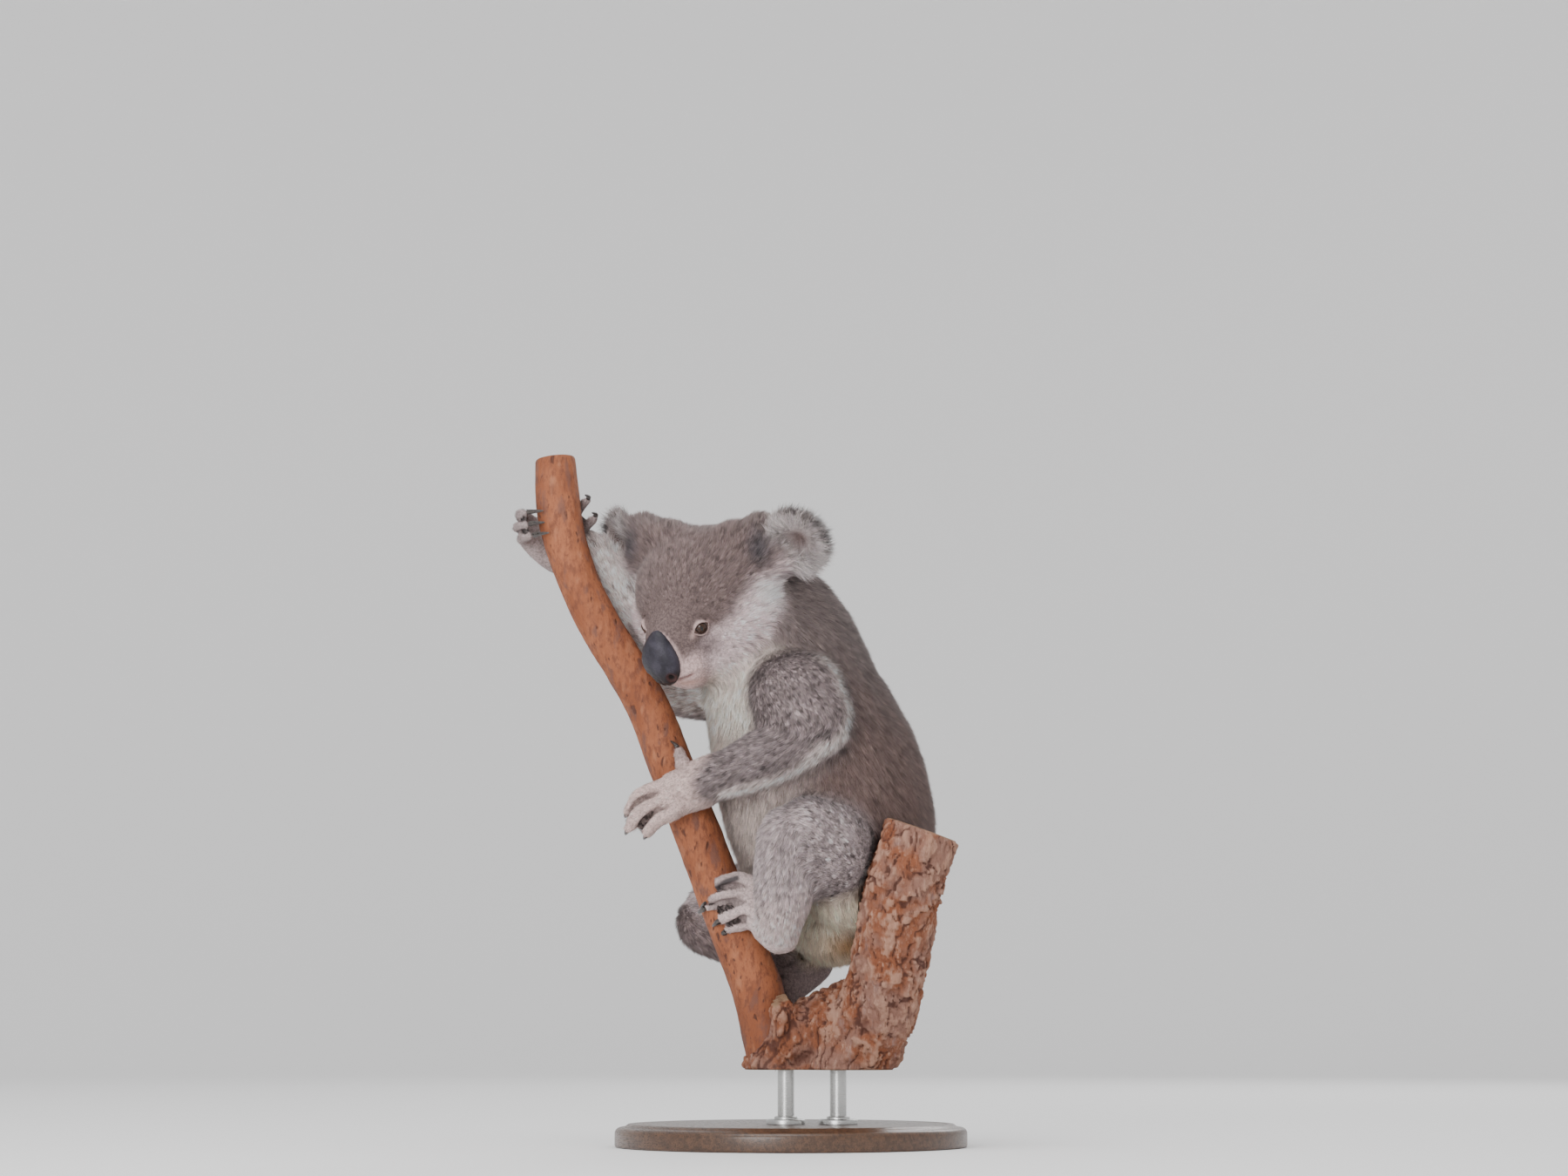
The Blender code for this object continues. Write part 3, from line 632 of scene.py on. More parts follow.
flat = np.zeros(len(places))
for centre, way, _ in (stem_cut, foot_cut):
    beyond = (places - np.array(centre)) @ np.array(way)
    flat = np.maximum(flat, smooth_step(beyond, -2.2 * SAWN_EDGE, -0.6 * SAWN_EDGE))
near_shoot = np.linalg.norm(places - np.array(SHOOT_TOP), axis=1) < SHOOT_REACH
moved = places + normals * (BARK_RELIEF * (bark_height - 0.3) * (1 - flat))[:, None]
is_cut = np.zeros(len(places))
pith = np.full(len(places), 0.04)
for cut in (stem_cut, foot_cut, shoot_cut):
    centre, way, heart = (np.array(vector) for vector in cut)
    beyond = (moved - centre) @ way
    if cut is shoot_cut:
        beyond = np.where(near_shoot, beyond, -1)
    over = beyond > -SAWN_EDGE * 0.5
    moved = np.where(over[:, None], moved - way * beyond[:, None], moved)
    snapped = over & (np.abs(beyond) < SAWN_REACH)
    is_cut = np.maximum(is_cut, snapped)
    pith = np.where(snapped, np.linalg.norm(moved - heart, axis=1), pith)
move_to(old_fork, moved)
set_number(old_fork, "bark_height", bark_height)
set_number(old_fork, "bark_crack", crack)
set_number(old_fork, "cut", is_cut)
set_number(old_fork, "from_pith", pith)
old_fork.data.shade_smooth()
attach(old_fork, "root")
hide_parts("perch_fork")


# ---------------------------------------------------------------- skin
# One unbroken hide under the whole coat, from the nose to the toes. It lies inside the outline by
# the depth of the fur, and carries the lids, the lips, the rim of the nose, the hollows of the
# ears, the creases that part the digits and the pad of the great toe.

HEAD_CENTRE = Vector((0.026, -0.105, 0.515))
HEAD = (
    Matrix.Translation(HEAD_CENTRE)
    @ Matrix.Rotation(math.radians(30), 4, "Z")
    @ Matrix.Rotation(math.radians(35), 4, "X")
    @ Matrix.Rotation(math.radians(6), 4, "Y")
)
HEAD_TURN = np.array(HEAD.to_3x3())
EYE_PLACE = np.array((0.0305, -0.0385, 0.0035))
EYE_RADIUS = 0.0084
EYE_WAY = np.array((0.74, -0.66, 0.10))
LID_HALF_WIDTH = 0.0076
LID_HALF_HEIGHT = 0.0052
LID_THICKNESS = 0.0010
LID_DROP = 0.0004
LID_CREASE = 0.0006
LID_ROLL = 0.0005
BEHIND_EYE = 0.0016
SOCKET_DEPTH = 0.0010
MOUTH_PLACE = np.array((0.010, -0.060, -0.038))
MOUTH_DEPTH = 0.0026
UPPER_LIP_SWELL = 0.0009
LOWER_LIP_SWELL = 0.0010
LIP_CLEFT = 0.0010
NOSE_PLACE = np.array((0, -0.0735, -0.0140))
NOSE_HALF = np.array((0.0205, 0.0125, 0.0275))
EAR_ROOT = np.array((0.066, 0.040, 0.036))
EAR_HOLLOW = np.array((0.1105, 0.0400, 0.0530))
EAR_HOLLOW_DEPTH = 0.0050
SKIN_VOXEL = 0.0032
SKIN_GROWTH = 0.0008
SKIN_SMOOTHINGS = 7
EAR_DRAWN_IN = 0.84

# node: depth of coat, tuft length, tuft width, spacing (mm), lift (degrees), lie of the hair
FLESH = {
    "trunk": (5.2, 10.5, 0.86, 1.20, 28, (0.0, 0.25, -1.0)),
    "neck": (5.6, 10.5, 0.84, 1.04, 30, (0.0, 0.55, -1.0)),
    "head": (4.6, 7.5, 0.72, 0.90, 28, None),
    "ear_left": (3.0, 15.0, 0.70, 0.66, 30, None),
    "ear_right": (3.0, 15.0, 0.72, 0.70, 30, None),
    "upper_arm_left": (4.0, 7.5, 0.76, 0.88, 30, (0.043, 0.011, -0.040)),
    "upper_arm_right": (4.0, 8.5, 0.86, 1.18, 30, (-0.032, -0.100, 0.014)),
    "forearm_left": (3.8, 7.5, 0.74, 0.86, 27, (-0.068, -0.077, -0.053)),
    "forearm_right": (3.8, 8.0, 0.84, 1.12, 27, (0.004, -0.074, 0.093)),
    "thigh_left": (4.0, 7.5, 0.76, 0.88, 30, (0.044, -0.068, 0.026)),
    "thigh_right": (4.0, 8.5, 0.86, 1.18, 30, (-0.043, -0.106, -0.026)),
    "shin_left": (3.8, 7.2, 0.74, 0.85, 29, (-0.039, -0.003, -0.079)),
    "shin_right": (3.8, 8.0, 0.84, 1.10, 29, (0.052, 0.086, -0.038)),
    "hand_left": (1.0, 4.6, 0.56, 0.78, 19, (-0.029, -0.042, -0.021)),
    "hand_right": (1.2, 4.0, 0.66, 0.98, 17, (0.002, -0.046, 0.036)),
    "foot_left": (1.0, 4.0, 0.56, 0.78, 17, (-0.027, -0.017, 0.026)),
    "foot_right": (1.2, 4.2, 0.66, 1.00, 17, (0.019, -0.040, -0.028)),
}
FLESH_NAMES = list(FLESH)
NUMBER_OF = {name: number for number, name in enumerate(FLESH_NAMES)}
MILLIMETRE = 0.001

# Three joints of every finger, thumb and toe, and how thick the flesh is round them
DIGITS = {
    "hand_left": (
        ((0.018, -0.136, 0.344), (0.008, -0.157, 0.336), (-0.002, -0.165, 0.321)),
        ((0.022, -0.134, 0.331), (0.015, -0.158, 0.319), (0.003, -0.166, 0.304)),
        ((0.027, -0.126, 0.320), (0.023, -0.143, 0.311), (0.012, -0.150, 0.299)),
        ((0.028, -0.112, 0.350), (0.026, -0.119, 0.365), (0.019, -0.121, 0.378)),
        ((0.034, -0.096, 0.356), (0.022, -0.087, 0.362), (0.007, -0.083, 0.366)),
    ),
    "hand_right": (
        ((-0.084, -0.244, 0.612), (-0.074, -0.257, 0.613), (-0.057, -0.254, 0.613)),
        ((-0.086, -0.246, 0.601), (-0.073, -0.259, 0.600), (-0.056, -0.254, 0.601)),
        ((-0.084, -0.243, 0.588), (-0.071, -0.255, 0.588), (-0.054, -0.250, 0.590)),
        ((-0.086, -0.210, 0.604), (-0.070, -0.197, 0.620), (-0.052, -0.193, 0.628)),
        ((-0.084, -0.204, 0.592), (-0.068, -0.189, 0.604), (-0.050, -0.186, 0.611)),
    ),
    "foot_left": (
        ((0.038, -0.050, 0.248), (0.032, -0.065, 0.255), (0.022, -0.081, 0.251)),
        ((0.033, -0.058, 0.241), (0.030, -0.076, 0.239), (0.020, -0.089, 0.234)),
        ((0.029, -0.058, 0.237), (0.026, -0.076, 0.234), (0.016, -0.090, 0.229)),
        ((0.038, -0.054, 0.227), (0.034, -0.067, 0.223), (0.026, -0.079, 0.217)),
        ((0.034, -0.049, 0.215), (0.031, -0.060, 0.212), (0.023, -0.071, 0.207)),
    ),
    "foot_right": (
        ((-0.034, 0.012, 0.160), (-0.036, -0.008, 0.172), (-0.032, -0.026, 0.180)),
        ((-0.031, 0.000, 0.154), (-0.033, -0.019, 0.155), (-0.029, -0.037, 0.154)),
        ((-0.031, 0.000, 0.147), (-0.033, -0.018, 0.147), (-0.028, -0.035, 0.144)),
        ((-0.029, 0.002, 0.139), (-0.030, -0.014, 0.137), (-0.025, -0.029, 0.133)),
        ((-0.028, 0.006, 0.131), (-0.027, -0.007, 0.127), (-0.022, -0.020, 0.122)),
    ),
}
DIGIT_THICKNESS = {
    "hand_left": 0.0078, "hand_right": 0.0060, "foot_left": 0.0066, "foot_right": 0.0056,
}
GREAT_TOE_THICKNESS = 1.25           # times the other toes
DIGIT_REACH = 0.016
PARTING_DEPTH = 0.0050
PARTING_WIDTH = 0.0034


def unit(rows):
    return rows / np.maximum(np.linalg.norm(rows, axis=-1, keepdims=True), 1e-9)


def in_head(places):
    return (places - np.array(HEAD_CENTRE)) @ HEAD_TURN


def from_head(places):
    return places @ HEAD_TURN.T + np.array(HEAD_CENTRE)


def spot(places, centre, reach):
    """1 at the centre, falling smoothly to 0 at about twice the reach."""
    apart = (places - np.asarray(centre)) / np.asarray(reach)
    return np.exp(-(apart**2).sum(-1))


def mirrored(places):
    """Head places with both sides laid on the left one."""
    return np.stack([np.abs(places[:, 0]), places[:, 1], places[:, 2]], 1)


def from_line(places, line):
    """How far each place is from the nearest point of a line."""
    return np.linalg.norm(places[:, None] - line[None], axis=2).min(1)


def edge_pairs(piece):
    pairs = np.empty(len(piece.data.edges) * 2, np.int32)
    piece.data.edges.foreach_get("vertices", pairs)
    return pairs.reshape(-1, 2)


def averaged(values, pairs, passes):
    """Values on a mesh, each drawn towards the mean of its neighbours again and again."""
    count = len(values)
    first = np.concatenate([pairs[:, 0], pairs[:, 1]])
    second = np.concatenate([pairs[:, 1], pairs[:, 0]])
    degree = np.maximum(np.bincount(first, minlength=count), 1)
    flat = values.reshape(count, -1).copy()
    for _ in range(passes):
        for column in range(flat.shape[1]):
            mean = np.bincount(first, flat[second, column], minlength=count) / degree
            flat[:, column] = 0.4 * flat[:, column] + 0.6 * mean
    return flat.reshape(values.shape)


def along_digits(places, paw):
    """Nearest digit of a paw, the share of the way along it, its axis there, and the distance."""
    lines = np.stack([curve_through(joints, 8) for joints in DIGITS[paw]])
    apart = np.linalg.norm(places[:, None, None] - lines[None], axis=3).reshape(len(places), -1)
    best = apart.argmin(1)
    steps = lines.shape[1]
    return best // steps, (best % steps) / (steps - 1), lines.reshape(-1, 3)[best], apart.min(1)


def between_digits(places, paw, width):
    """1 in the middle between two digits of a paw, 0 on the digits and past the knuckles."""
    lines = [curve_through(joints, 6) for joints in DIGITS[paw]]
    apart = np.sort(np.stack([from_line(places, line) for line in lines], 1), axis=1)
    share = fades(apart[:, 1] - apart[:, 0], width) * (apart[:, 0] < DIGIT_REACH)
    return share * smooth_step(along_digits(places, paw)[1], 0.0, 0.25)


def nearest_flesh(places):
    """Number of the nearest flesh node at each place."""
    corners, faces, owner = [], [], []
    for number, node_name in enumerate(FLESH_NAMES):
        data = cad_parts[node_name].data
        start = len(corners)
        corners += [vertex.co.copy() for vertex in data.vertices]
        for polygon in data.polygons:
            faces.append([start + k for k in polygon.vertices])
            owner.append(number)
    tree = BVHTree.FromPolygons(corners, faces)
    return np.array([owner[tree.find_nearest(Vector(place))[2]] for place in places])


def of_nodes(owner, *starts):
    """Whether each place's flesh node has a name that starts in one of these ways."""
    return np.isin(owner, [NUMBER_OF[name] for name in FLESH_NAMES if name.startswith(starts)])


def eye_frame(local, side):
    """Across, upward and forward distances from the middle of an eye, and its gaze."""
    gaze = unit(EYE_WAY * (side, 1, 1))
    across_way = unit(np.cross(np.cross(gaze, (0, 1.0, 0.16)), gaze))
    up_way = np.cross(gaze, across_way)
    up_way = up_way * np.sign(up_way[2])
    away = local - EYE_PLACE * (side, 1, 1)
    return away @ across_way, away @ up_way, away @ gaze, gaze


def lid_gap(across, rise):
    """How high the lids' bow is at each place, and how far that is outside the open slit."""
    bow = np.maximum(1 - (across / LID_HALF_WIDTH) ** 2, 0)
    return bow, np.abs(rise + LID_DROP) - LID_HALF_HEIGHT * bow**0.8


skin_finish = Finish(
    "skin and undercoat with shade", (0.2, 0.15, 0.14), 0.85, {"Specular IOR Level": 0.25}
)
place = skin_finish.place()
coat_colour, bare = skin_finish.kept("markings_and_shade", "Color"), skin_finish.kept("bare")
down = skin_finish.noise(place, 420, 4, Roughness=0.7)
pore = skin_finish.cells(place, 900.0)["Distance"]
# Under the locks the skin is darker than its markings, by an uneven amount: partly the real dark
# undercoat, partly painted shade beneath the fur.
under = skin_finish.tinted((0.45, 0.44, 0.44), (0.90, 0.90, 0.90), down, 0.35, 0.68)
furred = skin_finish.blend(1.0, coat_colour, under, "MULTIPLY")
naked = skin_finish.tinted(coat_colour, (0.05, 0.035, 0.035), pore, 0.25, 0.6, 0.35)
skin_finish.surface({
    "Base Color": skin_finish.blend(bare, furred, naked),
    "Roughness": skin_finish.step(bare, 0.0, 1.0, 0.92, 0.50),
})
skin_finish.bump(down, 0.6, 0.0010)

ear_roots = {
    name: (HEAD @ Vector((side * EAR_ROOT[0], EAR_ROOT[1], EAR_ROOT[2])), EAR_DRAWN_IN)
    for name, side in (("ear_left", 1), ("ear_right", -1))
}
melted = FLESH_NAMES + ["eye_left", "eye_right", "nose_pad"]
skin = melted_copy(
    "koala_skin", melted, SKIN_GROWTH, SKIN_VOXEL, SKIN_SMOOTHINGS, skin_finish.material, ear_roots
)
places = places_of(skin)
normals = normals_of(skin)
pairs = edge_pairs(skin)
owner = nearest_flesh(places)
local = mirrored(in_head(places))
on_head = of_nodes(owner, "head")
table = np.array([FLESH[name][:5] for name in FLESH_NAMES], float)
depth = table[owner, 0]
short = smooth_step(np.linalg.norm(local - NOSE_PLACE, axis=1), 0.028, 0.088)
depth = np.where(on_head, 1.1 + 3.9 * short, depth)
depth = averaged(depth, pairs, 14) * MILLIMETRE
depth = np.where(on_head, np.minimum(depth, (1.1 + 4.1 * short) * MILLIMETRE), depth)
depth = averaged(depth, pairs, 3)
places = places - normals * depth[:, None]
move_to(skin, places)

# Finer mesh where the face has its detail
bpy.context.view_layer.objects.active = skin
for first_pass, eye_reach, mouth_reach in ((True, 0.021, 0.036), (False, 0.0165, 0.027)):
    shape = bmesh.new()
    shape.from_mesh(skin.data)
    places = np.array([vertex.co for vertex in shape.verts])
    local = mirrored(in_head(places))
    near = np.linalg.norm(local - EYE_PLACE, axis=1) < eye_reach
    near |= np.linalg.norm(local - MOUTH_PLACE, axis=1) < mouth_reach
    if first_pass:
        for paw in ("hand_left", "foot_left"):
            near |= along_digits(places, paw)[3] < 0.013
    edges = [edge for edge in shape.edges if all(near[corner.index] for corner in edge.verts)]
    bmesh.ops.subdivide_edges(shape, edges=edges, cuts=1, smooth=0.0, use_grid_fill=True)
    bmesh.ops.triangulate(shape, faces=[face for face in shape.faces if len(face.verts) > 4])
    shape.to_mesh(skin.data)
    shape.free()
skin.data.update()
places = places_of(skin)
pairs = edge_pairs(skin)
local = in_head(places)
close = (np.abs(local) < (0.08, 0.12, 0.09)).all(1) & (local[:, 1] < 0.01)
smoothed = averaged(places, pairs, 3)
places = np.where(close[:, None], smoothed, places)

# Shoulders and hips flow into the body
owner = nearest_flesh(places)
limbs = of_nodes(owner, "upper", "thigh")
limb_share = averaged(limbs.astype(float), pairs, 12)
border = np.clip(4 * limb_share * (1 - limb_share), 0, 1)
border = border * (limbs | of_nodes(owner, "trunk", "neck"))
places = places + (averaged(places, pairs, 30) - places) * border[:, None]
move_to(skin, places)

# The ears are bowls, open forward and out
local = in_head(places)
hollow = spot(mirrored(local), EAR_HOLLOW, (0.0150, 0.0300, 0.0160)) * of_nodes(owner, "ear")
hollow = hollow * smooth_step(-(normals_of(skin) @ HEAD_TURN)[:, 1], 0.0, 0.5)
places = from_head(local + np.array((0, EAR_HOLLOW_DEPTH, 0)) * hollow[:, None])

# Fingers and toes drawn in round their bones, so that creases part them
parting = np.zeros(len(places))
for paw, thickness in DIGIT_THICKNESS.items():
    between = between_digits(places, paw, PARTING_WIDTH)
    parting = np.maximum(parting, between)
    digit_number, way_along, axis, apart = along_digits(places, paw)
    great_toe = (digit_number == 0) & paw.startswith("foot")
    reach = thickness * np.where(great_toe, GREAT_TOE_THICKNESS, 1.0) * (1 - 0.16 * way_along)
    near = (apart < 0.020) * smooth_step(way_along, 0.05, 0.45)
    drawn = np.where(apart > reach, reach / np.maximum(apart, 1e-6), 1.0)
    places = axis + (places - axis) * (1 + (drawn - 1) * near)[:, None]
    move_to(skin, places)
    places = places - normals_of(skin) * (PARTING_DEPTH * between)[:, None]

# Face: eye sockets, lids, the rim the nose pad sits in, the lips and the cleft under the nose
local = in_head(places)
for side in (1, -1):
    across, rise, ahead, gaze = eye_frame(local, side)
    spread = np.hypot(across, rise)
    lid_ahead = np.sqrt(np.maximum((EYE_RADIUS + LID_THICKNESS) ** 2 - spread**2, 0.0))
    hidden_ahead = np.sqrt(np.maximum((EYE_RADIUS - BEHIND_EYE) ** 2 - spread**2, 0.0))
    bow, slit = lid_gap(across, rise)
    open_share = smooth_step(-slit, -0.00035, 0.00035) * (bow > 0)
    crease = fades(slit - 0.0026, 0.0008) * (rise > 0) * LID_CREASE
    roll = fades(slit - 0.0007, 0.0007) * LID_ROLL
    target = (lid_ahead + roll - crease) * (1 - open_share) + hidden_ahead * open_share
    hold = 1 - smooth_step(spread, 0.0074, 0.0128)
    sunk = ahead * (1 - hold) + target * hold
    sunk = sunk - SOCKET_DEPTH * fades(spread - 0.0115, 0.0022) * (spread > 0.0074)
    local = local + gaze * np.where(ahead > -0.001, sunk - ahead, 0)[:, None]

shares = (local - NOSE_PLACE) / NOSE_HALF
shell = np.linalg.norm(shares, axis=1)
behind_pad = (1 - smooth_step(shell, 0.90, 1.03)) * (local[:, 1] < -0.05)
local = local + np.array((0, 0.007, 0)) * behind_pad[:, None]
pull = np.where(shell < 1.4, 0.07 * (1 - smooth_step(shell, 1.12, 1.4)), 0)
local = NOSE_PLACE + (local - NOSE_PLACE) * (1 - pull / np.maximum(shell, 0.6))[:, None]


def lip_height(side_way):
    """Height of the line of the mouth, which curves up to its corners."""
    return -0.0400 + 0.0056 * (side_way / 0.026) ** 1.5


side_way = np.abs(local[:, 0])
under = local[:, 2] - lip_height(side_way)
front = smooth_step(-local[:, 1], 0.030, 0.045) * (1 - smooth_step(side_way, 0.021, 0.028))
cleft = fades(side_way, 0.0009) * smooth_step(under, 0.0, 0.002) * (local[:, 2] < -0.033)
folds = UPPER_LIP_SWELL * fades(under - 0.0042, 0.0032)
folds = folds + LOWER_LIP_SWELL * fades(under + 0.0048, 0.0030)
folds = (folds - MOUTH_DEPTH * fades(under, 0.0013) - LIP_CLEFT * cleft) * front
move_to(skin, from_head(local))
head_normals = normals_of(skin) @ HEAD_TURN
move_to(skin, from_head(local + head_normals * folds[:, None]))

# Markings, kept on the mesh and shared with the coat: brown-grey above, white below, pale limbs
# The markings also carry painted shade: on the far shin and foot, under the ear's low lock and
# between the digits.
BACK = (0.205, 0.140, 0.126)
NAPE = (0.215, 0.168, 0.160)
CROWN = (0.205, 0.148, 0.140)
CROWN_DARK_AND_SHADOW = (0.095, 0.083, 0.090)
CHEEK = (0.800, 0.630, 0.630)
UNDER_EYE = (0.225, 0.170, 0.170)
LIP = (0.740, 0.530, 0.510)
THROAT = (0.920, 0.800, 0.700)
BELLY = (0.640, 0.530, 0.480)
EAR_WHITE = (0.660, 0.600, 0.590)
EAR_BACK = (0.300, 0.245, 0.235)
EAR_TOP = (0.200, 0.160, 0.152)
EAR_EDGE = (0.620, 0.565, 0.560)
EAR_BARE = (0.118, 0.072, 0.066)
ARM = (0.290, 0.230, 0.228)
FOREARM = (0.225, 0.180, 0.180)
ARM_WHITE = (0.860, 0.720, 0.680)
LEG = (0.450, 0.368, 0.368)
PAW = (0.740, 0.550, 0.510)
FOOT = (0.760, 0.600, 0.580)
FAR_HAND = (0.460, 0.370, 0.360)
FAR_LEG_IN_SHADE = (0.270, 0.205, 0.200)
RUMP = (0.920, 0.780, 0.600)
RUMP_STAIN = (0.480, 0.270, 0.130)
PAD = (0.060, 0.050, 0.052)
TOE_PAD = ((0.023, -0.085, 0.246), (0.030, -0.079, 0.2515), (0.039, -0.070, 0.2560))
LOWER_LIP = (0.640, 0.400, 0.350)
CHEEK_TUFT = (0.920, 0.850, 0.840)
ARM_FRINGE = (
    (0.1115, -0.0080, 0.464), (0.1175, 0.0010, 0.4545), (0.124, 0.007, 0.442),
    (0.129, 0.0095, 0.428), (0.1315, 0.0125, 0.415), (0.130, 0.011, 0.400),
    (0.132, 0.003, 0.388), (0.131, -0.013, 0.376), (0.118, -0.022, 0.361),
    (0.099, -0.045, 0.346), (0.083, -0.061, 0.339), (0.062, -0.084, 0.333),
)
LID = (0.640, 0.460, 0.430)
LID_EDGE = (0.090, 0.055, 0.050)
MOUTH = (0.200, 0.090, 0.080)
WEB_PAINTED_SHADE = 0.58
WEB_BARENESS = 0.25


def paint(colour, share):
    """Lay a colour on the skin, over those there, with the share it has at each place."""
    global colours
    colours = colours + (np.array(colour) - colours) * np.clip(share, 0, 1)[:, None]


places = places_of(skin)
normals = normals_of(skin)
pairs = edge_pairs(skin)
owner = nearest_flesh(places)
local = mirrored(in_head(places))
head_normals = normals @ HEAD_TURN
mottle = fractal(places, 55, 3, 3.0)
facing = averaged(normals, pairs, 20)

trunk = of_nodes(owner, "trunk", "neck")
colours = np.tile(np.array(BACK), (len(places), 1))
paint(NAPE, smooth_step(places[:, 2] + 0.02 * mottle, 0.36, 0.50) * trunk)
front = smooth_step(-facing[:, 1] - 0.25 * facing[:, 0] + 0.25 * mottle, -0.02, 0.85)
paint(BELLY, front * trunk)
throat = smooth_step(places[:, 2] + 0.02 * mottle, 0.360, 0.415) * front
paint(THROAT, throat * trunk)
rump = smooth_step(-(places[:, 2] + 0.012 * mottle), -0.262, -0.232) * trunk
paint(RUMP, rump * 0.85)
stain = spot(places, (0.045, 0.042, 0.196), (0.030, 0.022, 0.014))
paint(RUMP_STAIN, stain * trunk)

arms = of_nodes(owner, "upper_arm", "forearm")
paint(ARM, arms)
from_fringe = from_line(places, curve_through(ARM_FRINGE, 8))
fringe = 1 - smooth_step(from_fringe + 0.003 * mottle, 0.006, 0.013)
paint(FOREARM, of_nodes(owner, "forearm_left"))
paint(ARM_WHITE, fringe * of_nodes(owner, "forearm_left", "upper_arm_left"))
inner_right = smooth_step(facing[:, 0] + 0.2 * mottle, 0.10, 0.55)
paint(ARM_WHITE, inner_right * of_nodes(owner, "forearm_right", "upper_arm_right"))
legs = of_nodes(owner, "thigh", "shin")
paint(LEG, legs)
low_leg = smooth_step(-places[:, 2] + 0.01 * mottle, -0.250, -0.212)
paint(FOOT, low_leg * of_nodes(owner, "shin_left"))
paint(PAW, of_nodes(owner, "hand_left"))
paint(FAR_HAND, of_nodes(owner, "hand_right"))
paint(FOOT, of_nodes(owner, "foot_left"))
# Painted shade: the right shin and foot, on the far side of the branch, are darker than the left.
paint(FAR_LEG_IN_SHADE, of_nodes(owner, "foot_right", "shin_right"))
paint(ARM, spot(places, (0.024, -0.120, 0.370), (0.010, 0.010, 0.013)) * 0.7)

head = of_nodes(owner, "head")
x, y, z = local.T
paint(CROWN, head)
line = z - np.maximum(0.0083 + 0.69 * (y + 0.0228), -0.0125)
before_nape = 1 - smooth_step(y + 0.004 * mottle, 0.026, 0.042)
cheek = smooth_step(-line + 0.005 * mottle, -0.003, 0.009) * smooth_step(x, 0.020, 0.036)
cheek = cheek * before_nape
paint(CHEEK, cheek * head)
paint(NAPE, (1 - before_nape) * head)
chin = smooth_step(-z, 0.036, 0.054) * smooth_step(y, -0.06, -0.02)
paint(THROAT, chin * before_nape * head)
paint(UNDER_EYE, spot(local, (0.035, -0.039, -0.018), (0.012, 0.014, 0.011)) * head)
lips = smooth_step(-z, 0.012, 0.022) * smooth_step(-y, 0.044, 0.058)
paint(LIP, lips * head)
ear_patch = spot(local, (0.0770, 0.018, 0.058), (0.0095, 0.014, 0.017))
paint(CROWN_DARK_AND_SHADOW, ear_patch)
# Painted shadow: a dark band under the ear's low lock, where it hangs over the side of the head.
paint(CROWN_DARK_AND_SHADOW, spot(local, (0.088, 0.030, 0.020), (0.012, 0.014, 0.005)) * 0.8)
paint(CHEEK_TUFT, spot(local, (0.077, 0.016, 0.008), (0.013, 0.015, 0.012)) * head)
ears = of_nodes(owner, "ear")
paint(EAR_BACK, ears)
ear_front = smooth_step(-head_normals[:, 1], 0.10, 0.55) * smooth_step(x - 0.3 * z, 0.060, 0.074)
paint(EAR_TOP, ears * smooth_step(z - 0.4 * (x - 0.100), 0.066, 0.078))
paint(EAR_EDGE, ears * smooth_step(x + 0.3 * (0.060 - z), 0.116, 0.128) * 0.8)
paint(EAR_WHITE, ear_front * ears * (1 - 0.75 * smooth_step(z, 0.071, 0.080)))
bowl = spot(local, EAR_HOLLOW, (0.0175, 0.030, 0.0180))
bowl = bowl * ears * smooth_step(-head_normals[:, 1], -0.1, 0.4)
limb_share = averaged((arms | legs).astype(float), pairs, 14)
border = np.clip(4 * limb_share * (1 - limb_share), 0, 1) * (trunk | arms | legs)
soft_colours = averaged(colours, pairs, 40)
colours = averaged(colours, pairs, 7)
colours = colours + (soft_colours - colours) * border[:, None]
paint(CROWN_DARK_AND_SHADOW, ear_patch * 0.9)
# Painted shade in the creases between fingers and toes: the skin there is darkened, and thinned of
# hair so that it shows.
parting = parting * of_nodes(owner, "hand", "foot")
colours = colours * (1 - WEB_PAINTED_SHADE * parting)[:, None]
bare = WEB_BARENESS * parting
for side in (1, -1):
    across, rise, ahead, gaze = eye_frame(in_head(places), side)
    past_corner = np.maximum(np.abs(across) - LID_HALF_WIDTH, 0)
    slit = np.hypot(np.maximum(lid_gap(across, rise)[1], 0), past_corner)
    here = (ahead > -0.002) & (np.hypot(across, rise) < 0.02)
    lid = here * (1 - smooth_step(slit, 0.0016, 0.0040))
    tear_corner = spot(np.stack([across, rise], 1), (-0.0105, -0.0020), (0.0034, 0.0030)) * here
    paint(LID, np.maximum(lid * 0.85, tear_corner))
    paint(LID_EDGE, here * (1 - smooth_step(slit, 0.0002, 0.0009)))
    bare = np.maximum(bare, np.maximum(lid, tear_corner))
shell = np.linalg.norm((in_head(places) - NOSE_PLACE) / NOSE_HALF, axis=1)
nose_edge = 1 - smooth_step(shell, 1.06, 1.22)
paint(LIP, nose_edge * 0.7)
bare = np.maximum(bare, nose_edge)
mouth = fades(z - lip_height(x), 0.0017) * smooth_step(-y, 0.030, 0.045)
mouth = mouth * (1 - smooth_step(x, 0.021, 0.029)) * head
lower_lip = head * spot(local, (0.012, -0.062, -0.0465), (0.013, 0.016, 0.0055))
paint(LOWER_LIP, lower_lip * 1.2)
bare = np.maximum(bare, lower_lip * 0.8)
paint(MOUTH, mouth * 0.9)
bare = np.maximum(bare, mouth)
paint(EAR_BARE, bowl)
bare = np.maximum(bare, bowl * 0.9)
toe_pad = fades(from_line(places, curve_through(TOE_PAD, 6)), 0.0036)
toe_pad = toe_pad * of_nodes(owner, "foot_left")
paint(PAD, toe_pad * 1.4)
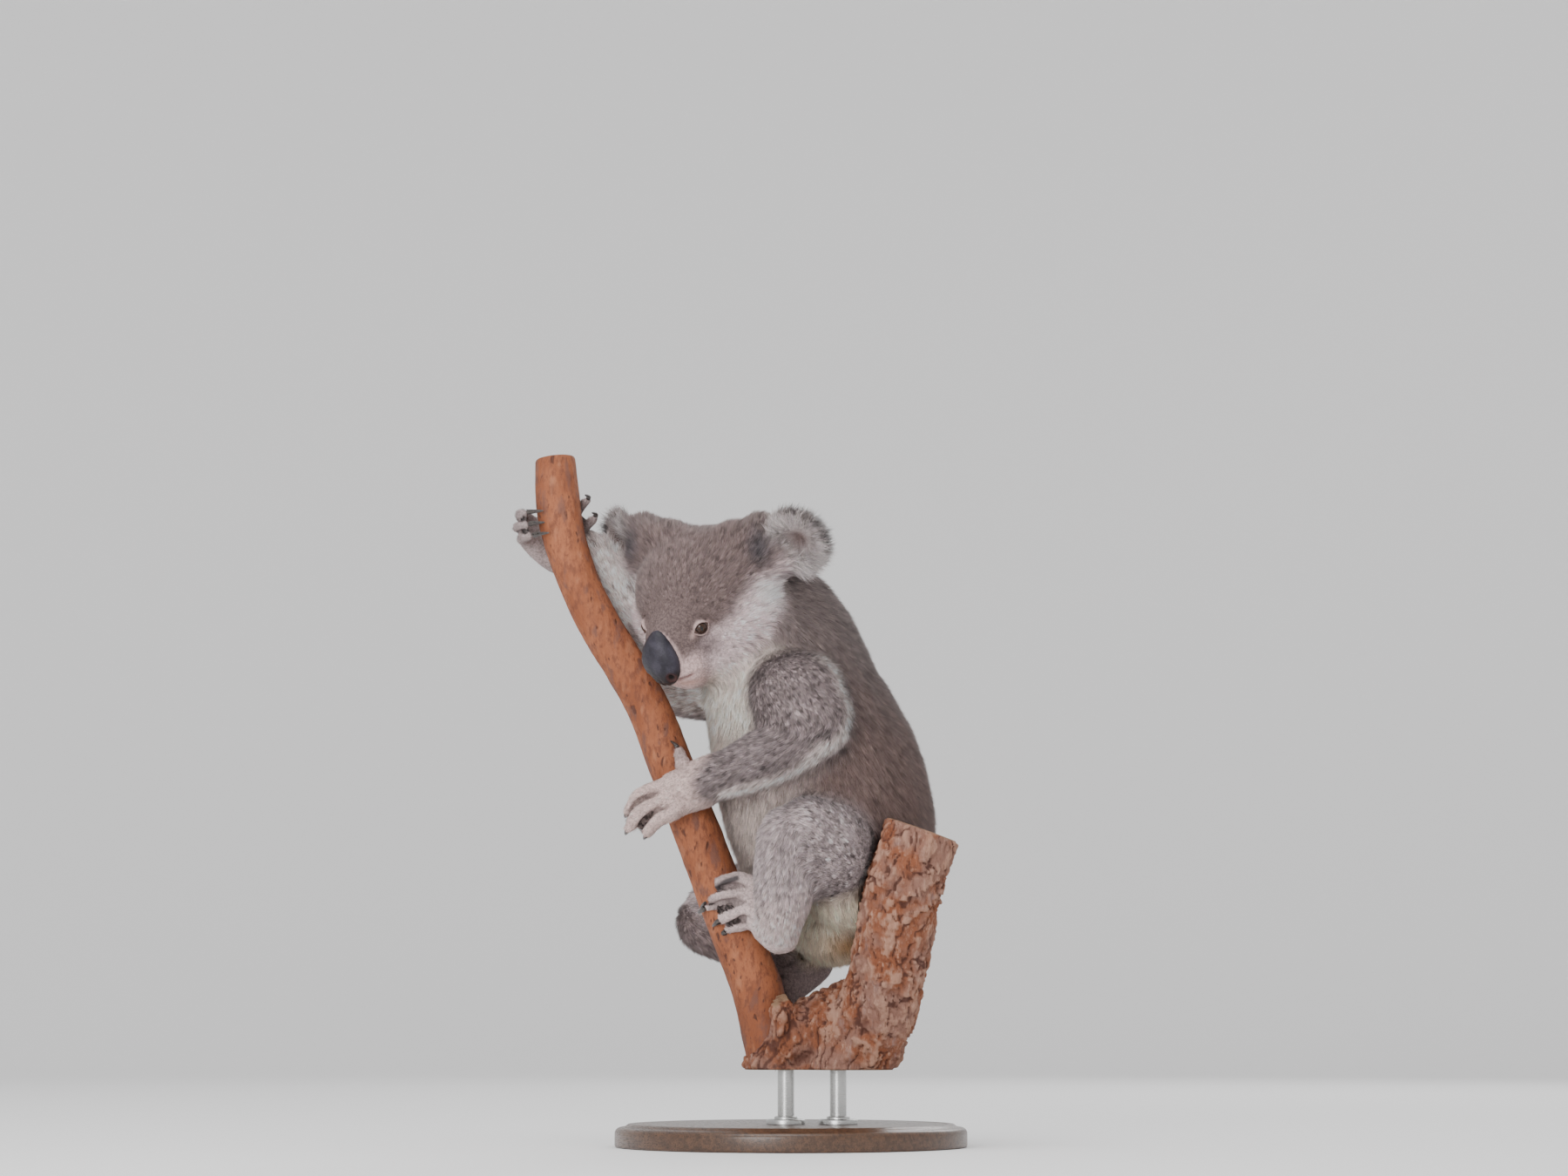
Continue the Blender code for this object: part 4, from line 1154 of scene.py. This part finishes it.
bare = np.maximum(bare, np.minimum(toe_pad * 1.6, 1))


def keep_colours(mesh, colours):
    """Colours kept on the corners of a mesh, for its finish to read."""
    layer = mesh.color_attributes.new("markings_and_shade", "FLOAT_COLOR", "POINT")
    rows = np.column_stack([colours, np.ones(len(colours))]).astype(np.float32)
    layer.data.foreach_set("color", rows.ravel())


keep_colours(skin.data, colours)
set_number(skin, "bare", bare)
skin.data.shade_smooth()
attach(skin, "root")
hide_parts(*FLESH_NAMES)


# ---------------------------------------------------------------- eyes
# Small brown eyes with an upright dark pupil under a clear bulging cornea, glossy with tears. Each
# lies deep in its socket and looks out sideways and forward.

IRIS_REACH = 0.66
PUPIL_HALF = (0.13, 0.30)
CORNEA_REACH = 0.62
CORNEA_BULGE = 0.0005

wet_eye = Finish(
    "wet brown eye", (0.09, 0.04, 0.02), 0.06,
    {"Coat Weight": 0.5, "Specular IOR Level": 0.15, "Coat Roughness": 0.02},
)
on_iris = wet_eye.add("CombineXYZ", {
    "X": wet_eye.kept("iris_across"), "Y": wet_eye.kept("iris_up"),
}).outputs[0]
from_middle = wet_eye.add("VectorMath", {0: on_iris}, operation="LENGTH").outputs["Value"]
squeezed = wet_eye.stretched(on_iris, (1 / PUPIL_HALF[0], 1 / PUPIL_HALF[1], 1))
in_pupil = wet_eye.add("VectorMath", {0: squeezed}, operation="LENGTH").outputs["Value"]
rays = wet_eye.noise(on_iris, 14, 4)
iris = wet_eye.tinted((0.015, 0.006, 0.004), (0.048, 0.020, 0.009), rays, 0.35, 0.65)
iris = wet_eye.tinted(iris, (0.020, 0.010, 0.007), from_middle, 0.40, IRIS_REACH)
white = wet_eye.tinted((0.10, 0.065, 0.055), (0.16, 0.11, 0.10), rays, 0.3, 0.7)
iris = wet_eye.tinted(iris, white, from_middle, IRIS_REACH, IRIS_REACH + 0.08)
pupil = wet_eye.step(in_pupil, 0.85, 1.10, 1.0, 0.0)
wet_eye.surface({"Base Color": wet_eye.blend(pupil, iris, (0.004, 0.003, 0.003))})

for name, side in (("eye_left", 1), ("eye_right", -1)):
    bpy.ops.mesh.primitive_uv_sphere_add(segments=48, ring_count=32, radius=EYE_RADIUS)
    eye = bpy.context.object
    eye.name = "wet_" + name
    places = places_of(eye)
    from_axis = np.hypot(places[:, 0], places[:, 1]) / EYE_RADIUS
    bulge = CORNEA_BULGE * (1 - smooth_step(from_axis, 0.35, CORNEA_REACH)) * (places[:, 2] > 0)
    places[:, 2] += bulge
    gaze = Vector(EYE_WAY * (side, 1, 1)).normalized()
    up = Vector((0, 0, 1)) - gaze * gaze.z
    up.normalize()
    turn = np.array(Matrix((up.cross(gaze), up, gaze)).transposed())
    set_number(eye, "iris_across", places[:, 0] / EYE_RADIUS)
    set_number(eye, "iris_up", places[:, 1] / EYE_RADIUS)
    move_to(eye, from_head(places @ turn.T + EYE_PLACE * (side, 1, 1)))
    eye.data.materials.append(wet_eye.material)
    eye.data.shade_smooth()
    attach(eye, "root")
    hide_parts(name)


# ---------------------------------------------------------------- nose pad
# A long egg of bare slate-black leather, pebbled all over, that the lips grow up to. Two nostrils
# shaped like commas open low on its sides, reddish at their edges.

NOSE_NARROWING = 0.24
NOSE_SLOPE = 0.008
NOSTRIL_PLACE = np.array((0.0125, -0.0070, -0.0165))
NOSTRIL_HALF = np.array((0.0042, 0.0060, 0.0062))
NOSTRIL_DEPTH = 0.0030
CLEFT_DEPTH = 0.0008
CRUMPLE = 0.00028

leather = Finish("nose leather", (0.03, 0.03, 0.04), 0.42, {"Specular IOR Level": 0.26})
place = leather.place()
pebbles = leather.cells(place, 1150.0)["Distance"]
worn = leather.noise(place, 75, 4)
low, nostril = leather.kept("shade_low_on_nose"), leather.kept("nostril")
slate = leather.tinted((0.022, 0.020, 0.028), (0.054, 0.048, 0.066), worn, 0.35, 0.68)
# Painted shade: the leather darkens towards the underside of the nose.
slate = leather.tinted(slate, (0.009, 0.005, 0.005), low, 0.10, 0.70, 0.95)
slate = leather.tinted(slate, (0.011, 0.010, 0.012), pebbles, 0.30, 0.75, 0.35)
slate = leather.tinted(slate, (0.080, 0.030, 0.026), nostril, 0.10, 0.45, 0.6)
# Painted shade: the depths of the nostrils are near black.
slate = leather.tinted(slate, (0.006, 0.004, 0.004), nostril, 0.45, 0.80)
leather.surface({"Base Color": slate, "Roughness": leather.step(worn, 0.3, 0.7, 0.36, 0.52)})
leather.bump(pebbles, 0.55, 0.00025)

bpy.ops.mesh.primitive_uv_sphere_add(segments=96, ring_count=64, radius=1)
nose = bpy.context.object
nose.name = "leathery_nose"
places = places_of(nose)
height = places[:, 2].copy()
above = np.maximum(height, 0)
places = np.column_stack([
    places[:, 0] * NOSE_HALF[0] * (1 - NOSE_NARROWING * above),
    places[:, 1] * NOSE_HALF[1] + NOSE_SLOPE * above**2,
    height * NOSE_HALF[2],
])
move_to(nose, places)
way = normals_of(nose)
cleft = fades(places[:, 0], 0.0012) * smooth_step(-height, 0.35, 0.75)
dent = spot(mirrored(places), NOSTRIL_PLACE, NOSTRIL_HALF) * (places[:, 1] < 0.004)
raised = fractal(places, 260, 3, 8.0) * CRUMPLE - NOSTRIL_DEPTH * smooth_step(dent, 0.25, 0.9)
places = places + way * (raised - CLEFT_DEPTH * cleft)[:, None]
set_number(nose, "shade_low_on_nose", np.clip(-height, 0, 1))
set_number(nose, "nostril", dent)
move_to(nose, from_head(places + NOSE_PLACE))
nose.data.materials.append(leather.material)
nose.data.shade_smooth()
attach(nose, "root")
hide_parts("nose_pad")


# ---------------------------------------------------------------- claws
# Long curved dark horn claws, one at the end of every finger and of four toes on each foot, rooted
# under the fur of the digit and running out to a blunt point.

CLAW_GROWTH = {
    "hand_left": 0.0003, "hand_right": 0.0003, "foot_left": 0.0009, "foot_right": 0.0003,
}


def select_only(piece):
    bpy.ops.object.select_all(action="DESELECT")
    bpy.context.view_layer.objects.active = piece
    piece.select_set(True)


horn = Finish("dark horn", (0.03, 0.025, 0.022), 0.32, {"Coat Weight": 0.25})
streaks = horn.noise(horn.place(), 600, 4)
horn.surface({
    "Base Color": horn.tinted((0.018, 0.015, 0.014), (0.070, 0.055, 0.048), streaks, 0.35, 0.70),
    "Roughness": horn.step(streaks, 0.3, 0.7, 0.26, 0.45),
})
horn.bump(streaks, 0.3, 0.00015)

for paw, growth in CLAW_GROWTH.items():
    claw_names = sorted(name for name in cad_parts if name.startswith("claw_" + paw))
    shape = bmesh.new()
    for claw_name in claw_names:
        shape.from_mesh(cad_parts[claw_name].data)
    bmesh.ops.remove_doubles(shape, verts=shape.verts, dist=0.00002)
    bmesh.ops.recalc_face_normals(shape, faces=shape.faces)
    claws = mesh_piece(paw + "_claws", [], [], horn.material)
    shape.to_mesh(claws.data)
    shape.free()
    select_only(claws)
    smoother = claws.modifiers.new("round", "SUBSURF")
    smoother.levels = 2
    bpy.ops.object.modifier_apply(modifier="round")
    move_to(claws, places_of(claws) + normals_of(claws) * growth)
    claws.data.shade_smooth()
    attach(claws, "root")
    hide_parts(*claw_names)


# ---------------------------------------------------------------- coat
# Fur in thin overlapping locks, rooted in the skin and lying the way the hair grows: back from the
# nose, out along the ears, down the body and along the limbs to the toes. Long and loose on the
# cheeks and ears, short on the face, shortest on hands and feet. Marked as the skin under it is.

ROOT_SINK = 0.0008
ROOT_PACKING = 0.87                  # ground that a lock takes, for each square of its spacing
BARE_THINNING = 0.96
CLUMP_EVERY = 14
CLUMP_PULL = 0.30
CLUMP_REACH = 0.012
SAFE_GAP = 0.0006                    # roots nearer than this to another piece grow no hair
SHORTEST_SHARE = 0.3
LENGTH_SPREAD = 0.22
WAY_SPREAD = math.radians(10)
LIFT_SPREAD = 6                      # degrees
EAR_LOOSENESS = 1.2
ROOT_SHADE = 0.74
TIP_SHADE = 1.14
PATCH_REACH = 0.0016
SPECKLE = {
    "trunk": 0.20, "neck": 0.22, "head": 0.27, "ear": 0.25, "upper": 0.46, "forearm": 0.42,
    "thigh": 0.46, "shin": 0.36, "hand": 0.20, "foot": 0.16,
}
COAT_REGIONS = {
    "coat_head_left": ("head",),
    "coat_head_right": ("head",),
    "coat_left_ear": ("ear_left",),
    "coat_right_ear": ("ear_right",),
    "coat_neck": ("neck",),
    "coat_body_high": ("trunk",),
    "coat_body_low": ("trunk",),
    "coat_left_arm": ("upper_arm_left", "forearm_left"),
    "coat_right_arm": ("upper_arm_right", "forearm_right"),
    "coat_left_leg": ("thigh_left", "shin_left"),
    "coat_right_leg": ("thigh_right", "shin_right"),
    "coat_hands": ("hand_left", "hand_right"),
    "coat_feet": ("foot_left", "foot_right"),
}
BODY_SPLIT = 0.335
rng = np.random.default_rng(11)

fur = Finish(
    "grey fur", (0.3, 0.25, 0.24), 0.82,
    {"Specular IOR Level": 0.22, "Sheen Weight": 0.12, "Sheen Roughness": 0.5},
)
strand = fur.noise(fur.place(), 1300)
shade = fur.tinted((0.82, 0.82, 0.82), (1.0, 1.0, 1.0), strand, 0.3, 0.7)
fur.surface({
    "Base Color": fur.blend(1.0, fur.kept("markings_and_shade", "Color"), shade, "MULTIPLY"),
    "Roughness": fur.step(strand, 0.3, 0.7, 0.76, 0.90),
})


# How the coat grows at every place on the skin
places, normals = places_of(skin), normals_of(skin)
pairs = edge_pairs(skin)
owner = nearest_flesh(places)
by_head = in_head(places)
local, side = mirrored(by_head), np.sign(by_head[:, 0])
fields = averaged(table[owner], pairs, 8)
length, width, spacing = (fields[:, column] * MILLIMETRE for column in (1, 2, 3))
lift = fields[:, 4]
from_nose = np.linalg.norm(local - (0, -0.070, -0.012), axis=1)
on_head, on_ear = of_nodes(owner, "head"), of_nodes(owner, "ear")
face_length = 2.0 + 6.0 * smooth_step(from_nose, 0.022, 0.120)
face_length = face_length * (1 - 0.62 * spot(local, EYE_PLACE, (0.013, 0.013, 0.012)))
ruff = spot(local, (0.068, 0.012, -0.028), (0.022, 0.030, 0.026))
ruff = ruff + 0.8 * spot(local, (0.078, 0.018, 0.012), (0.014, 0.014, 0.012))
face_length = (face_length + 6.0 * ruff) * MILLIMETRE
length = np.where(on_head, face_length, length)
width = np.where(on_head, np.clip(face_length * 0.12, 0.00042, 0.00076), width)
spacing = np.where(on_head, np.clip(face_length * 0.14, 0.00062, 0.00092), spacing)
head_normals = normals @ HEAD_TURN
in_front = smooth_step(-head_normals[:, 1], 0.0, 0.5)
low_lock = 1 - smooth_step(local[:, 2], 0.030, 0.044)
inner_lock = (1 - smooth_step(local[:, 0], 0.090, 0.098)) * (1 - low_lock)
ear_length = 14.0 * (1 - in_front) + in_front * (10.0 + 7.0 * low_lock + 2.0 * inner_lock)
length = np.where(on_ear, ear_length * MILLIMETRE, length)
length = averaged(length, pairs, 4)
speckle = sum(amount * of_nodes(owner, start) for start, amount in SPECKLE.items())
speckle = averaged(speckle, pairs, 8)

ways = np.zeros((len(places), 3))
for name, number in NUMBER_OF.items():
    lie = FLESH[name][5]
    if lie is not None:
        ways[owner == number] = unit(np.array(lie))
face_ways = unit(by_head - (0, -0.078, -0.004)) @ HEAD_TURN.T
ways = np.where(on_head[:, None], face_ways, ways)
both_sides = np.column_stack([side, np.ones((len(side), 2))])
back_ways = unit(by_head - both_sides * EAR_ROOT * (0.8, 1, 0.8))
front_ways = unit(local - EAR_HOLLOW)
for share, way in ((inner_lock, (0.50, 0.30, 0.80)), (low_lock, (0.80, 0.52, -0.25))):
    front_ways = front_ways * (1 - share)[:, None] + share[:, None] * way
front_ways = front_ways * both_sides
ear_ways = (back_ways * (1 - in_front)[:, None] + front_ways * in_front[:, None]) @ HEAD_TURN.T
ways = averaged(np.where(on_ear[:, None], ear_ways, ways), pairs, 10)
ways = unit(ways - normals * (ways * normals).sum(1)[:, None])

# Roots spread evenly over the skin, closer where the hair is finer
skin.data.calc_loop_triangles()
triangles = np.empty(len(skin.data.loop_triangles) * 3, np.int32)
skin.data.loop_triangles.foreach_get("vertices", triangles)
triangles = triangles.reshape(-1, 3)
corner = places[triangles]
area_way = np.cross(corner[:, 1] - corner[:, 0], corner[:, 2] - corner[:, 0])
area = 0.5 * np.linalg.norm(area_way, axis=1)
wanted = area / (ROOT_PACKING * spacing[triangles].mean(1) ** 2)
wanted = wanted * (1 - BARE_THINNING * np.clip(bare[triangles].mean(1) * 1.6, 0, 1))
total = np.cumsum(wanted)
root_total = int(total[-1])
picks = np.searchsorted(total, np.arange(root_total) + rng.uniform(0.1, 0.9, root_total))
picks = np.clip(picks, 0, len(triangles) - 1)
first, second = rng.random(len(picks)), rng.random(len(picks))
over = first + second > 1
first, second = np.where(over, 1 - first, first), np.where(over, 1 - second, second)
shares = np.stack([1 - first - second, first, second], 1)
chosen = triangles[picks]


def at_roots(values):
    """A value kept on the skin's corners, read at every root."""
    if values.ndim == 1:
        return (values[chosen] * shares).sum(1)
    return (values[chosen] * shares[:, :, None]).sum(1)


root = at_roots(places)
stand = unit(at_roots(normals))
lie = at_roots(ways)
lie = unit(lie - stand * (lie * stand).sum(1)[:, None])
across = np.cross(stand, lie)
loose = 1 + EAR_LOOSENESS * at_roots(on_ear.astype(float))
turn = (rng.normal(0, WAY_SPREAD, len(root)) * loose)[:, None]
lie = lie * np.cos(turn) + across * np.sin(turn)
across = np.cross(stand, lie)
reach = at_roots(length) * (1 + rng.uniform(-LENGTH_SPREAD, LENGTH_SPREAD, len(root)) * loose)
half = at_roots(width) * 0.5 * rng.uniform(0.8, 1.2, len(root))
rise = np.radians(at_roots(lift) + rng.normal(0, LIFT_SPREAD, len(root)) * loose)[:, None]
foot = root - stand * ROOT_SINK
tip = foot + reach[:, None] * (lie * np.cos(rise) + stand * np.sin(rise))

# Neighbouring locks lean together at their tips
leaders = rng.permutation(len(root))[: len(root) // CLUMP_EVERY]
tree = KDTree(len(leaders))
for leader in leaders:
    tree.insert(Vector(root[leader] + stand[leader] * 0.003), int(leader))
tree.balance()
leader = np.array([tree.find(Vector(place))[1] for place in root + stand * 0.003])
together = (stand[leader] * stand).sum(1) > 0.6
together &= np.linalg.norm(root[leader] - root, axis=1) < CLUMP_REACH
pull = (CLUMP_PULL * together * rng.uniform(0.6, 1.2, len(root)))[:, None]
tip = tip + (tip[leader] - tip) * pull

# Locks stop short of the branch, the fork, the eyes, the nose pad and the claws
solid_parts = [slim_branch, old_fork]
for node_name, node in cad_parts.items():
    if node_name.startswith(("eye", "claw", "nose")):
        solid_parts.append(node)
corners, faces = [], []
for part in solid_parts:
    start = len(corners)
    corners += [part.matrix_world @ vertex.co for vertex in part.data.vertices]
    faces += [[start + index for index in polygon.vertices] for polygon in part.data.polygons]
solid = BVHTree.FromPolygons(corners, faces)
kept = np.ones(len(root))
for index in range(len(root)):
    start = Vector(root[index])
    along = Vector(tip[index]) - start
    span = along.length
    found = solid.find_nearest(start, 0.030)
    if found[0] is None:
        continue
    if (start - found[0]).dot(found[1]) < SAFE_GAP:
        kept[index] = 0.0
        continue
    hit = solid.ray_cast(start, along, span * 1.05)
    if hit[0] is not None:
        kept[index] = 0.9 * hit[3] / span
keep = kept > SHORTEST_SHARE
tip = foot + (tip - foot) * kept[:, None]

# Clumps and single locks differ in how dark they are, more dark than light
wave = rng.normal(0, 1, len(root))
wave = 0.8 * wave[leader] + 0.6 * wave
wave = wave - 0.3 * np.abs(wave) + 0.24
tint = at_roots(colours) * np.exp(at_roots(speckle) * wave)[:, None]
tint = np.clip(tint * (1 + rng.normal(0, 0.03, (len(root), 3))), 0.008, 0.92)

face_owner = owner[triangles[:, 0]]
high = places[triangles].mean(1)[:, 2] > BODY_SPLIT
to_left = by_head[triangles].mean(1)[:, 0] > 0
halves = {
    "coat_head_left": to_left, "coat_head_right": ~to_left,
    "coat_body_high": high, "coat_body_low": ~high,
}
third_turns = np.arange(3) * math.tau / 3
for region_name, region_nodes in COAT_REGIONS.items():
    in_region = of_nodes(face_owner, *region_nodes) & halves.get(region_name, True)
    # The region's own piece of skin, flattened, tells each lock where its colours are kept
    region_faces = np.flatnonzero(in_region)
    used, faces = np.unique(triangles[region_faces], return_inverse=True)
    faces = faces.reshape(-1, 3)
    flat = mesh_piece("flattened_skin", places[used].tolist(), faces.tolist(), skin_finish.material)
    select_only(flat)
    bpy.ops.object.mode_set(mode="EDIT")
    bpy.ops.mesh.select_all(action="SELECT")
    bpy.ops.uv.smart_project(angle_limit=math.radians(70), island_margin=0.001)
    bpy.ops.object.mode_set(mode="OBJECT")
    flat_map = np.empty(len(faces) * 6, np.float32)
    flat.data.uv_layers[0].data.foreach_get("uv", flat_map)
    flat_map = flat_map.reshape(-1, 3, 2)
    flat_map = (flat_map - flat_map.min((0, 1))) / np.ptp(flat_map, axis=(0, 1)) * 0.98 + 0.01
    bpy.data.objects.remove(flat)

    face_place = np.full(len(triangles), -1)
    face_place[region_faces] = np.arange(len(region_faces))
    mine = np.flatnonzero(in_region[picks] & keep)
    root_map = (flat_map[face_place[picks[mine]]] * shares[mine][:, :, None]).sum(1)

    count = len(mine)
    ring = rng.uniform(0, math.tau, count)[:, None] + third_turns
    wide, high_way = np.cos(ring)[:, :, None], np.sin(ring)[:, :, None]
    ring_way = across[mine][:, None] * wide - lie[mine][:, None] * high_way
    foot_ring = foot[mine][:, None] + half[mine][:, None, None] * ring_way
    corners = np.concatenate([foot_ring, tip[mine][:, None]], 1).reshape(-1, 3)
    loops = 4 * np.arange(count)[:, None, None] + np.array([[0, 1, 3], [1, 2, 3], [2, 0, 3]])
    loops = loops.reshape(-1)
    piece_mesh = bpy.data.meshes.new(region_name)
    piece_mesh.vertices.add(len(corners))
    piece_mesh.vertices.foreach_set("co", corners.astype(np.float32).ravel())
    piece_mesh.loops.add(len(loops))
    piece_mesh.loops.foreach_set("vertex_index", loops.astype(np.int32))
    piece_mesh.polygons.add(3 * count)
    piece_mesh.polygons.foreach_set("loop_start", 3 * np.arange(3 * count, dtype=np.int32))
    piece_mesh.update(calc_edges=True)
    piece_mesh.materials.append(fur.material)
    coat = bpy.data.objects.new(region_name, piece_mesh)
    bpy.context.scene.collection.objects.link(coat)

    shades = np.array([ROOT_SHADE] * 3 + [TIP_SHADE])
    hair = np.clip(tint[mine][:, None] * shades[:, None], 0, 1)
    keep_colours(piece_mesh, hair.reshape(-1, 3))

    patch = PATCH_REACH * np.column_stack([np.cos(third_turns), np.sin(third_turns)])
    corner_map = (root_map[:, None] + np.vstack([patch, (0, 0)])).reshape(-1, 2)[loops]
    bake_map = piece_mesh.uv_layers.new(name="OFBake")
    corner_map = np.clip(corner_map, 0.0005, 0.9995).astype(np.float32)
    bake_map.data.foreach_set("uv", corner_map.ravel())

    outward = np.concatenate([unit(foot_ring - foot[mine][:, None]), stand[mine][:, None]], 1)
    soft = unit(0.80 * stand[mine][:, None] + 0.40 * outward).reshape(-1, 3)
    piece_mesh.polygons.foreach_set("use_smooth", np.ones(3 * count, bool))
    piece_mesh.normals_split_custom_set_from_vertices(soft.tolist())
    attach(coat, "root")
